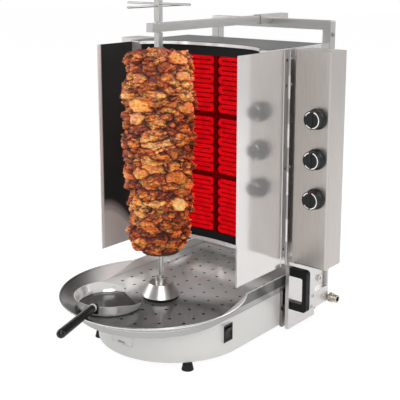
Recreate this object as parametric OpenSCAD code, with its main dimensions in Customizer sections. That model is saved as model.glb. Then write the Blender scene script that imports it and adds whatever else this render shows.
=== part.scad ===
// Gas doner kebab grill. A spit turns in front of a concave wall of six gas burners,
// over a long drip tray whose front half is a flared round dish.
// The front faces -Y. The origin is on the floor, under the middle of the whole part.
// The base with the motor and the tray stands still. The burner cabinet, its chassis and
// the rear frame slide back on it, while the top arm stays over the spit.

/* [Overall] */
// Width over the two control boxes
total_w = 661; // [640:1:700]
// Depth from the front edge of the tray to the end of the arm sleeve
grill_d = 764; // [750:1:790]
// Height to the top of the spit
total_h = 831; // [820:1:860]
// Depth with the handle of the loose pan
total_d = 888; // [870:1:910]
// Distance of the spit behind the front edge of the tray
spit_setback = 250; // [235:1:262]
// Thickness of the sheet metal
sheet = 2; // [1.5:0.1:2.5]

/* [Base] */
// Distance of a side of the base casing, whose front is a half round, from that of the cabinet
base_inset = 26; // [24:1:34]
// Distance of the base casing behind the front edge of the tray
base_setback = 112; // [95:1:130]
// Length of the base casing behind its front
base_len = 538; // [520:1:545]
// Height of the base casing
base_h = 86; // [82:1:92]
// Height of the rubber feet
foot_h = 18; // [14:1:24]
// Diameter of the rubber feet
foot_d = 26; // [20:1:34]
// Width of the folded edges of the base casing
base_fold = 14; // [10:1:18]

/* [Drip tray] */
// How far the rim of the round dish reaches past the side of the tray
flare_w = 38; // [28:1:46]
// Distance of a side of the tray from that of the base casing
tray_inset = 1; // [1:0.5:10]
// Height of the wall under the flare
tray_wall_h = 14; // [12:1:18]
// Height of the flare
flare_h = 26; // [20:1:30]
// Length of the tray behind its front edge
tray_len = 645; // [620:1:655]
// Radius of the rolled rim
hem_r = 2.5; // [2:0.1:3]
// Thickness of the perforated plates
plate_t = 1.5; // [1:0.1:2]
// Diameter of the drain holes
hole_d = 8; // [5:0.5:10]
// Distance between the drain holes across the tray
hole_pitch_x = 42; // [36:1:48]
// Distance between the drain holes along the tray
hole_pitch_y = 35; // [30:1:42]

/* [Fat drawer] */
// Width of the drawer front
drawer_w = 64; // [54:1:76]
// Height of the drawer front
drawer_h = 42; // [34:1:46]
// Height of the drawer above the bottom of the casing
drawer_lift = 28; // [26:1:34]
// Depth of the drawer
drawer_d = 74; // [60:1:80]

/* [Burner wall] */
// Distance of the middle of the burner wall behind the spit
wall_gap = 207; // [195:1:215]
// Radius of the middle of the wall
wall_mid_r = 600; // [560:5:700]
// Half width of the gently curved middle
wall_mid_half = 100; // [92:1:106]
// Width of the flat strip between an end of the wall and the side of the cabinet
front_w = 27.1; // [24:0.1:32]
// Angle at which the wall meets the front of the cabinet
wall_end_angle = 63; // [58:1:66]
// Height of the band over the burners
upper_band_h = 33; // [28:1:38]
// Height of the band under the burners
lower_band_h = 27; // [22:1:32]
// Height of the strip between two burners
burner_gap = 12; // [8:1:16]
// Depth of a burner
burner_d = 36; // [30:1:38]
// Width of the strip between the two columns of burners
column_gap = 14; // [10:1:20]
// Thickness of the radiant bars
bar_t = 5; // [3:0.5:6]
// Number of radiant loops on a burner
loops = 6; // [4:1:7]
// Share of the pitch that a loop fills
loop_share = 0.84; // [0.7:0.02:0.84]
// Share of a loop's height that one of its bars fills
bar_share = 0.38; // [0.3:0.01:0.38]

/* [Cabinet] */
// Width of the cabinet and of the chassis
cab_w = 428; // [424:1:436]
// Depth of the cabinet behind the middle of the burner wall
cab_back = 151; // [145:1:160]
// Distance of the top of the cabinet below that of the rear frame
cab_drop = 50; // [44:1:58]
// Height of the bottom of the cabinet above the floor
cab_z = 202; // [198:1:208]
// Depth of the turned down lip of the top plate
lip_h = 7; // [5:1:10]

/* [Wings] */
// Length of a wing in front of its hinge
wing_len = 200; // [185:1:210]
// How far a wing reaches below the cabinet
wing_drop = 12; // [6:1:18]
// Distance of the top of a wing below that of the cabinet
wing_under = 4; // [2:1:10]
// Distance of the hinge behind the front of the cabinet
hinge_setback = 80; // [74:1:86]
// Width of a hinge leaf
leaf_w = 21; // [17:1:24]
// Radius of the hinge knuckles
knuckle_r = 3.2; // [3:0.1:3.6]
// Number of hinge knuckles
knuckles = 9; // [5:2:13]

/* [Control boxes] */
// Gap between a control box and the side of the cabinet
box_gap = 18.5; // [17:0.5:24]
// Depth of a control box
box_d = 70; // [64:1:78]
// Height of the bottom of a control box above that of the cabinet
box_lift = 1; // [0:0.5:8]
// Radius of its upright edges
box_r = 6; // [4:0.5:9]
// Share of the width of a box that lies outside the middle of a knob
knob_share = 0.3367; // [0.3:0.0001:0.4]
// Height of the middle knob above the middle of the box
knob_lift = 6.5; // [0:0.5:14]
// Distance between the knobs
knob_pitch = 95; // [80:1:105]
// Diameter of the knobs
knob_d = 45; // [38:1:50]
// Length of the knobs
knob_l = 27; // [22:1:32]

/* [Chassis] */
// Distance of the chassis behind the hinge
chassis_setback = 21; // [18:1:26]
// Length of the chassis behind the cabinet
chassis_back = 67; // [62:1:76]
// Height of the bottom of the chassis above the floor
chassis_z = 13; // [10:1:16]
// Height of the step at the rear of the chassis
step_h = 19; // [14:1:24]
// Width of the folded front edge of the chassis
chassis_fold = 10; // [8:1:10]
// Thickness of the guide rails on the base
rail_t = 8; // [7:0.5:9]
// Height of the side handles
grip_h = 107; // [95:1:115]
// How far the side handles stand out
grip_out = 48; // [42:1:56]
// Width of the side handles
grip_w = 17; // [14:1:20]

/* [Rear frame and arm] */
// Gap between the chassis and the rear frame
frame_gap = 12; // [10:1:16]
// Distance of a side of the rear frame from that of the cabinet
frame_inset = 22; // [20:1:28]
// Size of the square tube of the rear frame
tube = 24; // [22:0.5:26]
// Height of the top of the spit above the rear frame
head_rise = 61; // [54:1:68]
// Size of the square arm
arm_t = 20; // [19:0.5:21]
// Wall of the arm and of its sleeve
arm_wall = 1.7; // [1.4:0.1:1.9]
// Length of the sleeve of the arm
sleeve_len = 128; // [115:1:140]
// How far the arm reaches past the spit
arm_over = 30; // [24:1:36]

/* [Spit] */
// Size of the square spit bar
bar_w = 14; // [12:0.5:15]
// Diameter of the shank above and of the rod below the bar
shank_d = 12; // [10:0.5:13]
// Diameter of the rod that stands in the drive cone
rod_d = 10; // [8:0.5:12]
// Length of the cross rod along the arm
cross_rod_l = 200; // [170:1:220]
// Diameter of the cross rods
cross_rod_d = 5; // [4:0.5:6]
// Diameter of the drive cone
cone_d = 92; // [84:1:100]
// Height of the drive cone
cone_h = 30; // [26:1:36]
// Diameter of the motor shaft
shaft_d = 14; // [12:0.5:16]

/* [Meat] */
// Widest radius of the meat
meat_r = 91; // [80:1:98]
// Height of the meat above the bottom of the drive cone
meat_lift = 113; // [106:1:122]
// Distance between the top of the meat and the arm
meat_gap = 35; // [28:1:50]
// Number of slices that show on the side
slices = 24; // [16:1:30]
// How far the edge of a slice stands out
slice_edge = 3; // [1:0.5:4]

/* [Pan] */
// Radius of the rim of the pan, a shovel that is open towards the spit
pan_r = 84; // [78:1:88]
// Radius of the bottom of the pan
pan_foot_r = 76; // [68:1:78]
// Height of the wall of the pan at the handle
pan_h = 27; // [24:1:30]
// Distance of the open edge of the pan from its middle
pan_lip = 56; // [46:1:64]
// Angle at which the wall drops towards the open edge
pan_drop_angle = 12; // [6:1:14]
// Diameter of the handle of the pan
pan_grip_d = 20; // [16:1:21]
// Distance of the middle of the pan behind the front edge of the tray
pan_setback = 136; // [130:1:142]

/* [Hidden] */
$fn = 64;
fine = 96;
coarse = 32;

// clearances and overrun
over = 1;
run_gap = 0.05;
slide_gap = 0.5;
free_gap = 0.3;

// widths and heights that follow from the overall sizes
base_w = cab_w - 2 * base_inset;
tray_w = base_w - 2 * tray_inset;
rim_r = tray_w / 2 + flare_w;
frame_w = cab_w - 2 * frame_inset;
box_w = (total_w - cab_w) / 2 - box_gap;
frame_h = total_h - head_rise;
cab_top_z = frame_h - cab_drop;
cab_h = cab_top_z - cab_z;
cab_half = cab_w / 2;

// places along the depth
sleeve_end_y = total_d / 2;
tray_front_y = sleeve_end_y - grill_d;
spit_y = tray_front_y + spit_setback;
tray_c_y = tray_front_y + rim_r;
tray_rear_y = tray_front_y + tray_len;
base_front_y = tray_front_y + base_setback;
base_r = base_w / 2;
base_c_y = base_front_y + base_r;
base_rear_y = base_front_y + base_len;
wall_y = spit_y + wall_gap;
mid_angle = asin(wall_mid_half / wall_mid_r);
mid_c = [0, wall_y - wall_mid_r];
wall_end_r = (cab_half - front_w - wall_mid_half) / (sin(wall_end_angle) - sin(mid_angle));
end_c = mid_c + (wall_mid_r - wall_end_r) * [sin(mid_angle), cos(mid_angle)];
wall_end = end_c + wall_end_r * [sin(wall_end_angle), cos(wall_end_angle)];
cab_front_y = wall_end[1];
cab_rear_y = wall_y + cab_back;
hinge_y = cab_front_y + hinge_setback;
chassis_front_y = hinge_y + chassis_setback;
chassis_rear_y = cab_rear_y + chassis_back;
frame_y = chassis_rear_y + frame_gap;

// heights
base_top_z = foot_h + base_h;
tray_floor_z = base_top_z + sheet;
plate_z = base_top_z + tray_wall_h;
plate_top_z = plate_z + plate_t;
rim_z = plate_z + flare_h;
burner_z = cab_z + sheet + lower_band_h;
burner_h = (cab_top_z - upper_band_h - burner_z - 2 * burner_gap) / 3;
burner_pitch = burner_h + burner_gap;
burners_top_z = burner_z + 3 * burner_h + 2 * burner_gap;

// depths of the layers of the burner wall behind its front curve
band_off = 4;
bar_off = 5;
face_off = bar_off + bar_t;
carrier_off = face_off + burner_d;
mid_steps = 3;
end_steps = 7;
burner_end_x = wall_end[0] + 1.5 * sheet;
mix_x = burner_end_x * 0.36;
mix_r = 10;
loop_gap = 22;
loop_end_x = wall_end[0] - loop_gap;

// wings
wing_z = cab_z - wing_drop;
wing_h = cab_top_z - wing_under - wing_z;
hinge_x = cab_half + knuckle_r + free_gap;
leaf_t = 1.5;
leaf_screws = [0.082, 0.462, 0.84, 0.954];
screw_d = 9;
pin_r = 1.3;
knuckle_gap = 0.6;
wing_t = 1.5;
wing_x = cab_half + 0.6;
wing_hem = 9;

// control boxes
box_out = total_w / 2;
box_in = box_out - box_w;
box_front_y = hinge_y - 2;
box_under = 4;
box_z = cab_z + box_lift;
box_h = cab_top_z - box_under - box_z;
knob_x = box_out - knob_share * box_w;
knob_z = box_z + box_h / 2 + knob_lift - knob_pitch;
neck_d = 24;
neck_h = box_h - 2 * 30;
stem_r = 4;
stem_hole_r = 6;
tap_r = 12;
tap_l = 42;
pipe_r = 8;
pipe_y = box_front_y + box_d * 0.8;
pipe_drop = 18;
pipe_over = 40;
pipe_z = box_z - pipe_drop;
pipe_x = cab_half - sheet - 4 - pipe_r;
cross_pipe_y = chassis_rear_y - sheet - 10 - pipe_r;
drop_x = frame_w / 2 + 1.5 + pipe_r * 0.8;
drop_y = chassis_rear_y + pipe_r * 0.8 + 2;
inlet_z = 38;
inlet_r = 10.5;
inlet_l = 14;
nut_r = 14;
nut_l = 9;
nut_x = cab_half + 2;

// chassis, rails and handles
rail_x = base_r;
rail_z = chassis_z + 1;
rail_h = base_top_z + 8 - rail_z;
groove_d = 5;
groove_h = 12;
groove_lift = 44;
groove_z = rail_z + groove_lift;
window_d = 60;
window_h = 51;
window_z = 75;
window_back = 8;
boss_r = 9;
grip_drop = 30;
grip_z = box_z - grip_drop - grip_h;
grip_t = 12;
grip_root = 20;
grip_r = 9;
rear_step_y = cab_rear_y;

// rear frame, sleeve and arm
tube_wall = 2;
frame_foot_z = 40;
stay_t = 17;
stay_z = cab_top_z - 6 - stay_t;
arm_z = frame_h - 1;
sleeve_t = arm_t + 2 * (arm_wall + free_gap);
sleeve_y = sleeve_end_y - sleeve_len;
arm_front_y = spit_y - arm_over;
arm_rear_y = sleeve_end_y - 4;
bush_r = shank_d / 2 + 2;
bush_lip = 1.5;

// spit
seal_h = 6.5;
rod_seat_d = 6;
cone_z = plate_top_z + seal_h + over;
rod_seat_z = cone_z + cone_h - rod_seat_d;
neck_r = 13;
neck_top_z = cone_z + cone_h + 13;
disc_t = 4;
disc_r = 45;
meat_z = cone_z + meat_lift;
arm_low_z = arm_z - arm_t / 2;
arm_top_z = arm_z + arm_t / 2;
meat_h = arm_low_z - meat_gap - meat_z;
shank_z = arm_low_z - 2;
head_z = arm_top_z + bush_lip + over;
shank_l = 19;
cross_drop = 14;
shank_top_z = head_z + shank_l;
cross_z = total_h - cross_drop;

// drawer and switch
drawer_z = foot_h + drawer_lift;
drawer_wall = 1.5;
runner_t = 3;
switch_y = spit_y + 21;
switch_z = 72;
switch_w = 28;
switch_h = 38;
switch_out = 3;
switch_depth = 16;
switch_edge = 3;
pad_x = base_r + 1;
rocker_tilt = 8;
rocker_pin_r = 1.5;

// motor
gear_w = 84;
gear_h = 50;
gear_z = foot_h + 2 * sheet + 4;
motor_r = 29;
motor_l = 120;
gear_hub_r = 18;
collar_r = 17;

// pan
pan_t = 1.5;
pan_x = -60;
pan_open_az = 26;
pan_az = 24;
pan_rise = 4;
pan_y = tray_front_y + pan_setback;
pan_grip_end = (pan_y + total_d / 2 - pan_grip_d / 2) / cos(pan_az) / cos(pan_rise);
pan_grip_l = pan_grip_end - pan_r;
pan_z = plate_top_z + free_gap;
pan_mount_w = 13;
pan_mount_share = 0.09;
pan_mount_out = 7;
pan_mount_in = 12;
pan_mount_up = 5;

// shapes shared by several pieces

module block(low, high) translate(low) cube(high - low);

module rod_y(r, y0, y1) translate([0, y1, 0]) rotate([90, 0, 0]) cylinder(r = r, h = y1 - y0);

module rod_x(r, x0, x1) translate([x0, 0, 0]) rotate([0, 90, 0]) cylinder(r = r, h = x1 - x0);

module side(right) mirror([right ? 0 : 1, 0, 0]) children();

module rounded_plan(low, high, r) {
    translate([low[0] + r, low[1]]) square([high[0] - low[0] - 2 * r, high[1] - low[1]]);
    translate([low[0], low[1] + r]) square([high[0] - low[0], high[1] - low[1] - 2 * r]);
    for (x = [low[0] + r, high[0] - r], y = [low[1] + r, high[1] - r])
        translate([x, y]) circle(r);
}

module square_tube_y(size, wall, y0, y1) difference() {
    block([-size / 2, y0, -size / 2], [size / 2, y1, size / 2]);
    block([-size / 2 + wall, y0 - over, -size / 2 + wall],
        [size / 2 - wall, y1 + over, size / 2 - wall]);
}

// the plan curve of the burner wall, moved back by off
function wall_points(off) = concat(
    [for (i = [0 : mid_steps]) let (a = mid_angle * i / mid_steps)
        mid_c + (wall_mid_r + off) * [sin(a), cos(a)]],
    [for (i = [1 : end_steps]) let (a = mid_angle + (wall_end_angle - mid_angle) * i / end_steps)
        end_c + (wall_end_r + off) * [sin(a), cos(a)]]);

function reversed(list) = [for (i = [len(list) - 1 : -1 : 0]) list[i]];

// one half of a curved strip between two depths, kept between two distances from the middle
module half_strip(off0, off1, x0, x1) intersection() {
    polygon(concat(wall_points(off0), reversed(wall_points(off1))));
    translate([x0, cab_front_y - over]) square([x1 - x0, cab_rear_y - cab_front_y]);
}

module full_strip(off0, off1, x1) {
    half_strip(off0, off1, 0, x1);
    mirror([1, 0]) half_strip(off0, off1, 0, x1);
}

// base

module base_plan(inset) {
    translate([0, base_c_y]) circle(base_r - inset, $fn = fine);
    translate([-base_r + inset, base_c_y])
        square([base_w - 2 * inset, base_rear_y - base_c_y - inset]);
}

module base_shell() color("gainsboro") difference() {
    union() {
        translate([0, 0, foot_h]) linear_extrude(base_h) base_plan(0);
        block([base_r - base_fold, switch_y - switch_w / 2 - switch_edge,
            switch_z - switch_h / 2 - switch_edge],
            [pad_x, switch_y + switch_w / 2 + switch_edge, switch_z + switch_h / 2 + switch_edge]);
    }
    difference() {
        translate([0, 0, foot_h + sheet]) linear_extrude(base_h - 2 * sheet) base_plan(sheet);
        block([base_r - base_fold, switch_y - switch_w / 2 - switch_edge,
            switch_z - switch_h / 2 - switch_edge],
            [base_r, switch_y + switch_w / 2 + switch_edge, switch_z + switch_h / 2 + switch_edge]);
    }
    translate([0, 0, foot_h - over]) linear_extrude(base_h + 2 * over) base_plan(base_fold);
    block([-drawer_w / 2 - slide_gap, base_front_y - over, drawer_z - slide_gap],
        [drawer_w / 2 + slide_gap, base_c_y - base_r * 0.8, drawer_z + drawer_h + slide_gap]);
    block([base_r - 2 * base_fold, switch_y - switch_w / 2, switch_z - switch_h / 2],
        [pad_x + over, switch_y + switch_w / 2, switch_z + switch_h / 2]);
}

module base_floor() color("silver") difference() {
    translate([0, 0, foot_h + sheet]) linear_extrude(sheet) base_plan(sheet + free_gap);
    for (x = [-2 : 2], y = [0 : 3])
        translate([x * base_r / 4, base_c_y + base_r + y * 2 * base_fold, foot_h])
            rounded_slot(base_r / 6, 6, 3 * sheet);
}

module rounded_slot(length, width, height) {
    translate([-length / 2 + width / 2, -width / 2, 0]) cube([length - width, width, height]);
    for (x = [-1, 1]) translate([x * (length - width) / 2, 0, 0]) cylinder(d = width, h = height);
}

module feet() color("#1c1c1c")
    for (x = [-1, 1], spot = [[base_r - 1.8 * foot_d, spit_y - foot_d * 2.6],
        [base_r - foot_d * 0.6, base_rear_y - foot_d * 0.6]])
        translate([x * spot[0], spot[1], 0]) {
            cylinder(d1 = foot_d * 1.1, d2 = foot_d * 0.84, h = foot_h * 0.84);
            translate([0, 0, foot_h * 0.84]) cylinder(d = foot_d * 0.72, h = foot_h * 0.16);
        }

module gear_motor() color("slategray") difference() {
    union() {
        translate([0, spit_y, 0]) block([-gear_w / 2, -gear_w / 2, gear_z], [gear_w / 2, gear_w / 2, gear_z + gear_h]);
        translate([0, spit_y, gear_z + gear_h]) cylinder(r = gear_hub_r, h = 6);
        translate([0, 0, gear_z + gear_h / 2 + 4])
            rod_y(motor_r, spit_y + gear_w / 2, spit_y + gear_w / 2 + motor_l);
        translate([0, 0, gear_z + gear_h / 2 + 4])
            for (i = [0 : 5]) rod_y(motor_r + 2, spit_y + gear_w / 2 + 18 + 16 * i, spit_y + gear_w / 2 + 22 + 16 * i);
        for (x = [-1, 1]) translate([0, spit_y, 0])
            block([x * gear_w / 2 - 12, -gear_w / 2, foot_h + 2 * sheet],
                [x * gear_w / 2 + 12, gear_w / 2, gear_z + 4]);
    }
    translate([0, spit_y, gear_z + 6]) cylinder(r = shaft_d / 2 + run_gap, h = gear_h + over);
}

module drive_shaft() color("darkgray") translate([0, spit_y, gear_z + 8])
    cylinder(d = shaft_d, h = rod_seat_z - gear_z - 8 - free_gap);

// drip tray

rim_meet = sqrt(pow(rim_r - hem_r, 2) - pow(tray_w / 2 - hem_r, 2));
rim_angle = atan2(rim_meet, tray_w / 2 - hem_r);

module tray_space(inset, floor_z, top_z) {
    translate([0, tray_c_y, floor_z]) cylinder(r = tray_w / 2 - inset, h = plate_z - floor_z, $fn = fine);
    translate([0, tray_c_y, plate_z])
        cylinder(r1 = tray_w / 2 - inset, r2 = rim_r - hem_r - inset, h = rim_z - hem_r - plate_z, $fn = fine);
    block([-tray_w / 2 + inset, tray_c_y, floor_z], [tray_w / 2 - inset, tray_rear_y - inset, top_z]);
}

module drip_tray() color("lightgray") difference() {
    union() {
        difference() {
            tray_space(0, base_top_z, rim_z - hem_r);
            tray_space(sheet, tray_floor_z, rim_z);
            translate([0, tray_c_y, rim_z - hem_r - over])
                cylinder(r = rim_r - hem_r - sheet, h = hem_r + 2 * over, $fn = fine);
        }
        translate([0, tray_c_y, rim_z - hem_r]) rotate([0, 0, 180 - rim_angle])
            rotate_extrude(angle = 180 + 2 * rim_angle, $fn = fine) translate([rim_r - hem_r, 0]) circle(hem_r, $fn = 24);
        for (x = [-1, 1]) translate([x * (tray_w / 2 - hem_r), 0, rim_z - hem_r])
            rod_y(hem_r, tray_c_y + rim_meet, tray_rear_y);
        translate([0, spit_y, base_top_z]) cylinder(r = collar_r, h = tray_wall_h - 4);
        translate([0, base_front_y + drawer_d / 2 + 6, base_top_z - 10]) cylinder(r = 15, h = 10 + over);
    }
    translate([0, spit_y, base_top_z - over]) cylinder(r = collar_r - sheet, h = tray_wall_h + 2 * over);
    translate([0, base_front_y + drawer_d / 2 + 6, base_top_z - 10 - over]) cylinder(r = 13, h = 20 + 3 * over);
}

module plate_plan() difference() {
    union() {
        translate([0, tray_c_y]) circle(tray_w / 2 - sheet - 1.5, $fn = fine);
        translate([-tray_w / 2 + sheet + 1.5, tray_c_y])
            square([tray_w - 2 * sheet - 3, tray_rear_y - tray_c_y - sheet - 1.5]);
    }
    translate([0, spit_y]) circle(collar_r + 3);
}

function on_plate(x, y) = y > tray_c_y ? y < tray_rear_y - hole_pitch_y / 2
    : norm([x, y - tray_c_y]) < tray_w / 2 - hole_pitch_x / 2;

function clear_of_seal(x, y) = norm([x, y - spit_y]) > cone_d / 2;

module plate(right) color("silver") side(right) {
    difference() {
        translate([0, 0, plate_z]) linear_extrude(plate_t) intersection() {
            plate_plan();
            translate([slide_gap, tray_front_y]) square([tray_w, tray_len + over]);
        }
        for (i = [0 : floor(tray_w / hole_pitch_x / 2)],
            j = [-ceil(spit_setback / hole_pitch_y) : floor((tray_len - spit_setback) / hole_pitch_y)]) {
            x = (i + 0.5) * hole_pitch_x;
            y = spit_y + (j + 0.5) * hole_pitch_y;
            if (x < tray_w / 2 - sheet - hole_d && on_plate(x, y) && clear_of_seal(x, y))
                translate([x, y, plate_z - over]) cylinder(d = hole_d, h = plate_t + 2 * over, $fn = 24);
        }
    }
    for (x = [hole_pitch_x, tray_w / 2 - 2 * hole_d], y = [tray_c_y - hole_pitch_y, tray_c_y + 3 * hole_pitch_y,
        tray_rear_y - hole_pitch_y])
        translate([x, y, tray_floor_z]) cylinder(d = 6, h = plate_z - tray_floor_z);
}

module shaft_seal() color("#1c1c1c") translate([0, spit_y, plate_top_z]) difference() {
    cylinder(d = cone_d - 6, h = seal_h);
    translate([0, 0, -over]) cylinder(r = shaft_d / 2 + 2, h = seal_h + 2 * over);
}

// fat drawer and switch

module drawer_runners() color("darkgray") for (x = [-1, 1]) {
    difference() {
        block([min(x * (drawer_w / 2 - 6), x * (drawer_w / 2 + runner_t + 2)), base_front_y + base_fold + 4,
            foot_h + 2 * sheet],
            [max(x * (drawer_w / 2 - 6), x * (drawer_w / 2 + runner_t + 2)), base_front_y + drawer_d,
            drawer_z + 10]);
        block([-drawer_w / 2 - slide_gap, base_front_y, drawer_z - slide_gap],
            [drawer_w / 2 + slide_gap, base_front_y + drawer_d + over, drawer_z + 10 + over]);
    }
}

module fat_drawer() color("whitesmoke") difference() {
    intersection() {
        block([-drawer_w / 2, base_front_y, drawer_z],
            [drawer_w / 2, base_front_y + drawer_d, drawer_z + drawer_h]);
        translate([0, base_c_y, drawer_z - over]) cylinder(r = base_r, h = drawer_h + 2 * over, $fn = fine);
    }
    intersection() {
        block([-drawer_w / 2 + drawer_wall, base_front_y, drawer_z + drawer_wall],
            [drawer_w / 2 - drawer_wall, base_front_y + drawer_d - drawer_wall, drawer_z + drawer_h + over]);
        translate([0, base_c_y, drawer_z - over]) cylinder(r = base_r - 3, h = drawer_h + 3 * over, $fn = fine);
    }
    translate([0, base_front_y - 4, drawer_z + 4]) rotate([35, 0, 0]) block([-12, -4, -4], [12, 6, 3]);
}

module switch_housing() color("#161616") translate([0, switch_y, switch_z]) difference() {
    union() {
        block([pad_x - switch_depth, -switch_w / 2 + free_gap, -switch_h / 2 + free_gap],
            [pad_x, switch_w / 2 - free_gap, switch_h / 2 - free_gap]);
        block([pad_x, -switch_w / 2 - 1.5, -switch_h / 2 - 1.5],
            [pad_x + switch_out - 1, switch_w / 2 + 1.5, switch_h / 2 + 1.5]);
    }
    block([pad_x - switch_depth + 3, -switch_w / 2 + switch_edge, -switch_h / 2 + switch_edge],
        [pad_x + switch_out, switch_w / 2 - switch_edge, switch_h / 2 - switch_edge]);
    translate([pad_x - 5, 0, 0]) rod_y(rocker_pin_r + run_gap, -switch_w / 2 + 1, switch_w / 2 - 1);
}

module switch_rocker() color("#262626") translate([pad_x - 5, switch_y, switch_z]) rotate([0, rocker_tilt, 0]) {
    half = switch_h / 2 - switch_edge - 1.6;
    rotate([90, 0, 0]) linear_extrude(switch_w - 2 * switch_edge - 2 * slide_gap, center = true)
        polygon([[-4, -3], [6, -half], [8, -half], [5.5, 0], [8, half], [6, half], [-4, 3]]);
    rod_y(rocker_pin_r, -switch_w / 2 + 1.5, switch_w / 2 - 1.5);
}

// chassis and its guides

module guide_rails() color("silver") for (x = [false, true]) side(x) difference() {
    block([rail_x, chassis_front_y, rail_z], [rail_x + rail_t, base_rear_y - 6, rail_z + rail_h]);
    block([rail_x + rail_t - groove_d, chassis_front_y - over, groove_z],
        [rail_x + rail_t + over, base_rear_y, groove_z + groove_h]);
}

module glide_bars() color("dimgray") for (x = [false, true]) side(x)
    block([rail_x + rail_t - groove_d + slide_gap, chassis_front_y + 12, groove_z + slide_gap],
        [cab_half - sheet, base_rear_y - 36, groove_z + groove_h - slide_gap]);

module chassis_side_plan() difference() {
    polygon([[chassis_front_y, chassis_z], [rear_step_y, chassis_z], [rear_step_y, chassis_z + step_h],
        [chassis_rear_y, chassis_z + step_h], [chassis_rear_y, cab_z], [chassis_front_y, cab_z]]);
    translate([chassis_rear_y - window_d - 6, window_z]) square([window_d, window_h]);
}

module chassis() color("lightgray") {
    difference() {
        for (x = [false, true]) side(x) {
            translate([cab_half, 0, 0]) rotate([90, 0, -90]) mirror([1, 0, 0]) linear_extrude(sheet) chassis_side_plan();
            block([cab_half - chassis_fold, chassis_front_y, chassis_z],
                [cab_half, chassis_front_y + sheet, cab_z]);
            block([cab_half - chassis_fold * 1.4, chassis_front_y, cab_z - sheet],
                [cab_half, chassis_rear_y, cab_z]);
            block([cab_half - sheet - window_back, chassis_rear_y - window_d - 6 - sheet, window_z - sheet],
                [cab_half - window_back, chassis_rear_y, window_z + window_h + sheet]);
            for (z = [window_z - sheet, window_z + window_h])
                block([cab_half - window_back, chassis_rear_y - window_d - 6 - sheet, z],
                    [cab_half - sheet, chassis_rear_y, z + sheet]);
            block([cab_half - window_back, chassis_rear_y - window_d - 6 - sheet, window_z],
                [cab_half - sheet, chassis_rear_y - window_d - 6, window_z + window_h]);
            translate([0, chassis_rear_y - 6 - window_d / 2, window_z + window_h * 0.55])
                rod_x(boss_r, cab_half - window_back - over, cab_half - 3);
        }
        for (x = [false, true]) side(x) {
            translate([0, pipe_y, pipe_z]) rod_x(pipe_r + 1, cab_half - chassis_fold * 2, cab_half + over);
            translate([0, chassis_rear_y - 6 - window_d / 2, window_z + window_h * 0.55])
                rod_x(boss_r / 2, cab_half - window_back + over, cab_half);
        }
    }
    difference() {
        block([-cab_half + sheet, chassis_rear_y - sheet, chassis_z + step_h],
            [cab_half - sheet, chassis_rear_y, cab_z]);
        block([-base_r * 0.8, chassis_rear_y - sheet - over, chassis_z + step_h - over],
            [-base_r * 0.2, chassis_rear_y + over, foot_h + base_h * 0.8]);
        translate([drop_x, 0, pipe_z]) rod_y(pipe_r * 0.8 + 1, chassis_rear_y - 3 * sheet, chassis_rear_y + over);
    }
}

// one slotted screw head that lies on a side of the cabinet, the chassis or a leaf
module screw(x, y, z) translate([x, y, z]) rotate([0, 90, 0]) difference() {
    union() {
        cylinder(d = screw_d, h = screw_d * 0.18, $fn = 24);
        translate([0, 0, screw_d * 0.18]) cylinder(d1 = screw_d, d2 = screw_d * 0.6, h = screw_d * 0.14, $fn = 24);
    }
    translate([-screw_d, -screw_d * 0.08, screw_d * 0.16]) cube([screw_d * 2, screw_d * 0.16, screw_d]);
}

module screws() color("silver") for (right = [false, true]) side(right) {
    for (t = leaf_screws) screw(cab_half + leaf_t, hinge_y + leaf_w * 0.62, wing_z + wing_h * t);
    screw(cab_half, chassis_rear_y - window_d - 16, window_z - 8);
    screw(cab_half, chassis_rear_y - window_d / 2, window_z - 20);
    screw(cab_half, rear_step_y - 14, chassis_z + 26);
}

module grip_plan() difference() {
    rounded_plan([-grip_r, 0], [grip_out, grip_h], grip_r);
    translate([-grip_r - over, -over]) square([grip_r + over, grip_h + 2 * over]);
    rounded_plan([-2 * grip_r, grip_root], [grip_out - grip_t, grip_h - grip_root], grip_r / 2);
}

module side_handle(right) color("#1a1a1a") side(right)
    translate([cab_half, chassis_front_y + 4 + grip_w, grip_z]) rotate([90, 0, 0])
        linear_extrude(grip_w) grip_plan();

// cabinet and burner wall

module cabinet_plan() difference() {
    translate([-cab_half, cab_front_y]) square([cab_w, cab_rear_y - cab_front_y]);
    polygon(concat(wall_points(0), [[wall_end[0], cab_front_y - over], [0, cab_front_y - over]]));
    mirror([1, 0]) polygon(concat(wall_points(0), [[wall_end[0], cab_front_y - over], [0, cab_front_y - over]]));
}

module cabinet_shell() color("darkgray") {
    translate([0, 0, cab_z]) linear_extrude(sheet) cabinet_plan();
    translate([0, 0, cab_z + sheet]) linear_extrude(lip_h + over) full_strip(0, sheet / 2, cab_half);
    difference() {
        union() {
            for (x = [false, true]) side(x) {
                block([cab_half - sheet, cab_front_y, cab_z + sheet], [cab_half, cab_rear_y, cab_top_z - 2 * sheet]);
                block([wall_end[0], cab_front_y, cab_z + sheet],
                    [cab_half - sheet, cab_front_y + sheet, cab_top_z - 2 * sheet]);
            }
            block([-cab_half + sheet, cab_rear_y - sheet, cab_z + sheet],
                [cab_half - sheet, cab_rear_y, cab_top_z - 2 * sheet]);
        }
        for (x = [false, true], i = [0 : 2]) side(x)
            translate([0, pipe_y, burner_z + burner_h / 2 + i * burner_pitch])
                rod_x(5, cab_half - 2 * sheet, cab_half + over);
        for (i = [-3 : 3], j = [0 : 5]) translate([i * cab_w / 9, cab_rear_y - 2 * sheet, cab_z + cab_h * (0.62 + 0.05 * j)])
            rotate([-90, 0, 0]) rounded_slot(cab_w / 14, 6, 3 * sheet, $fn = 24);
    }
}

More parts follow.
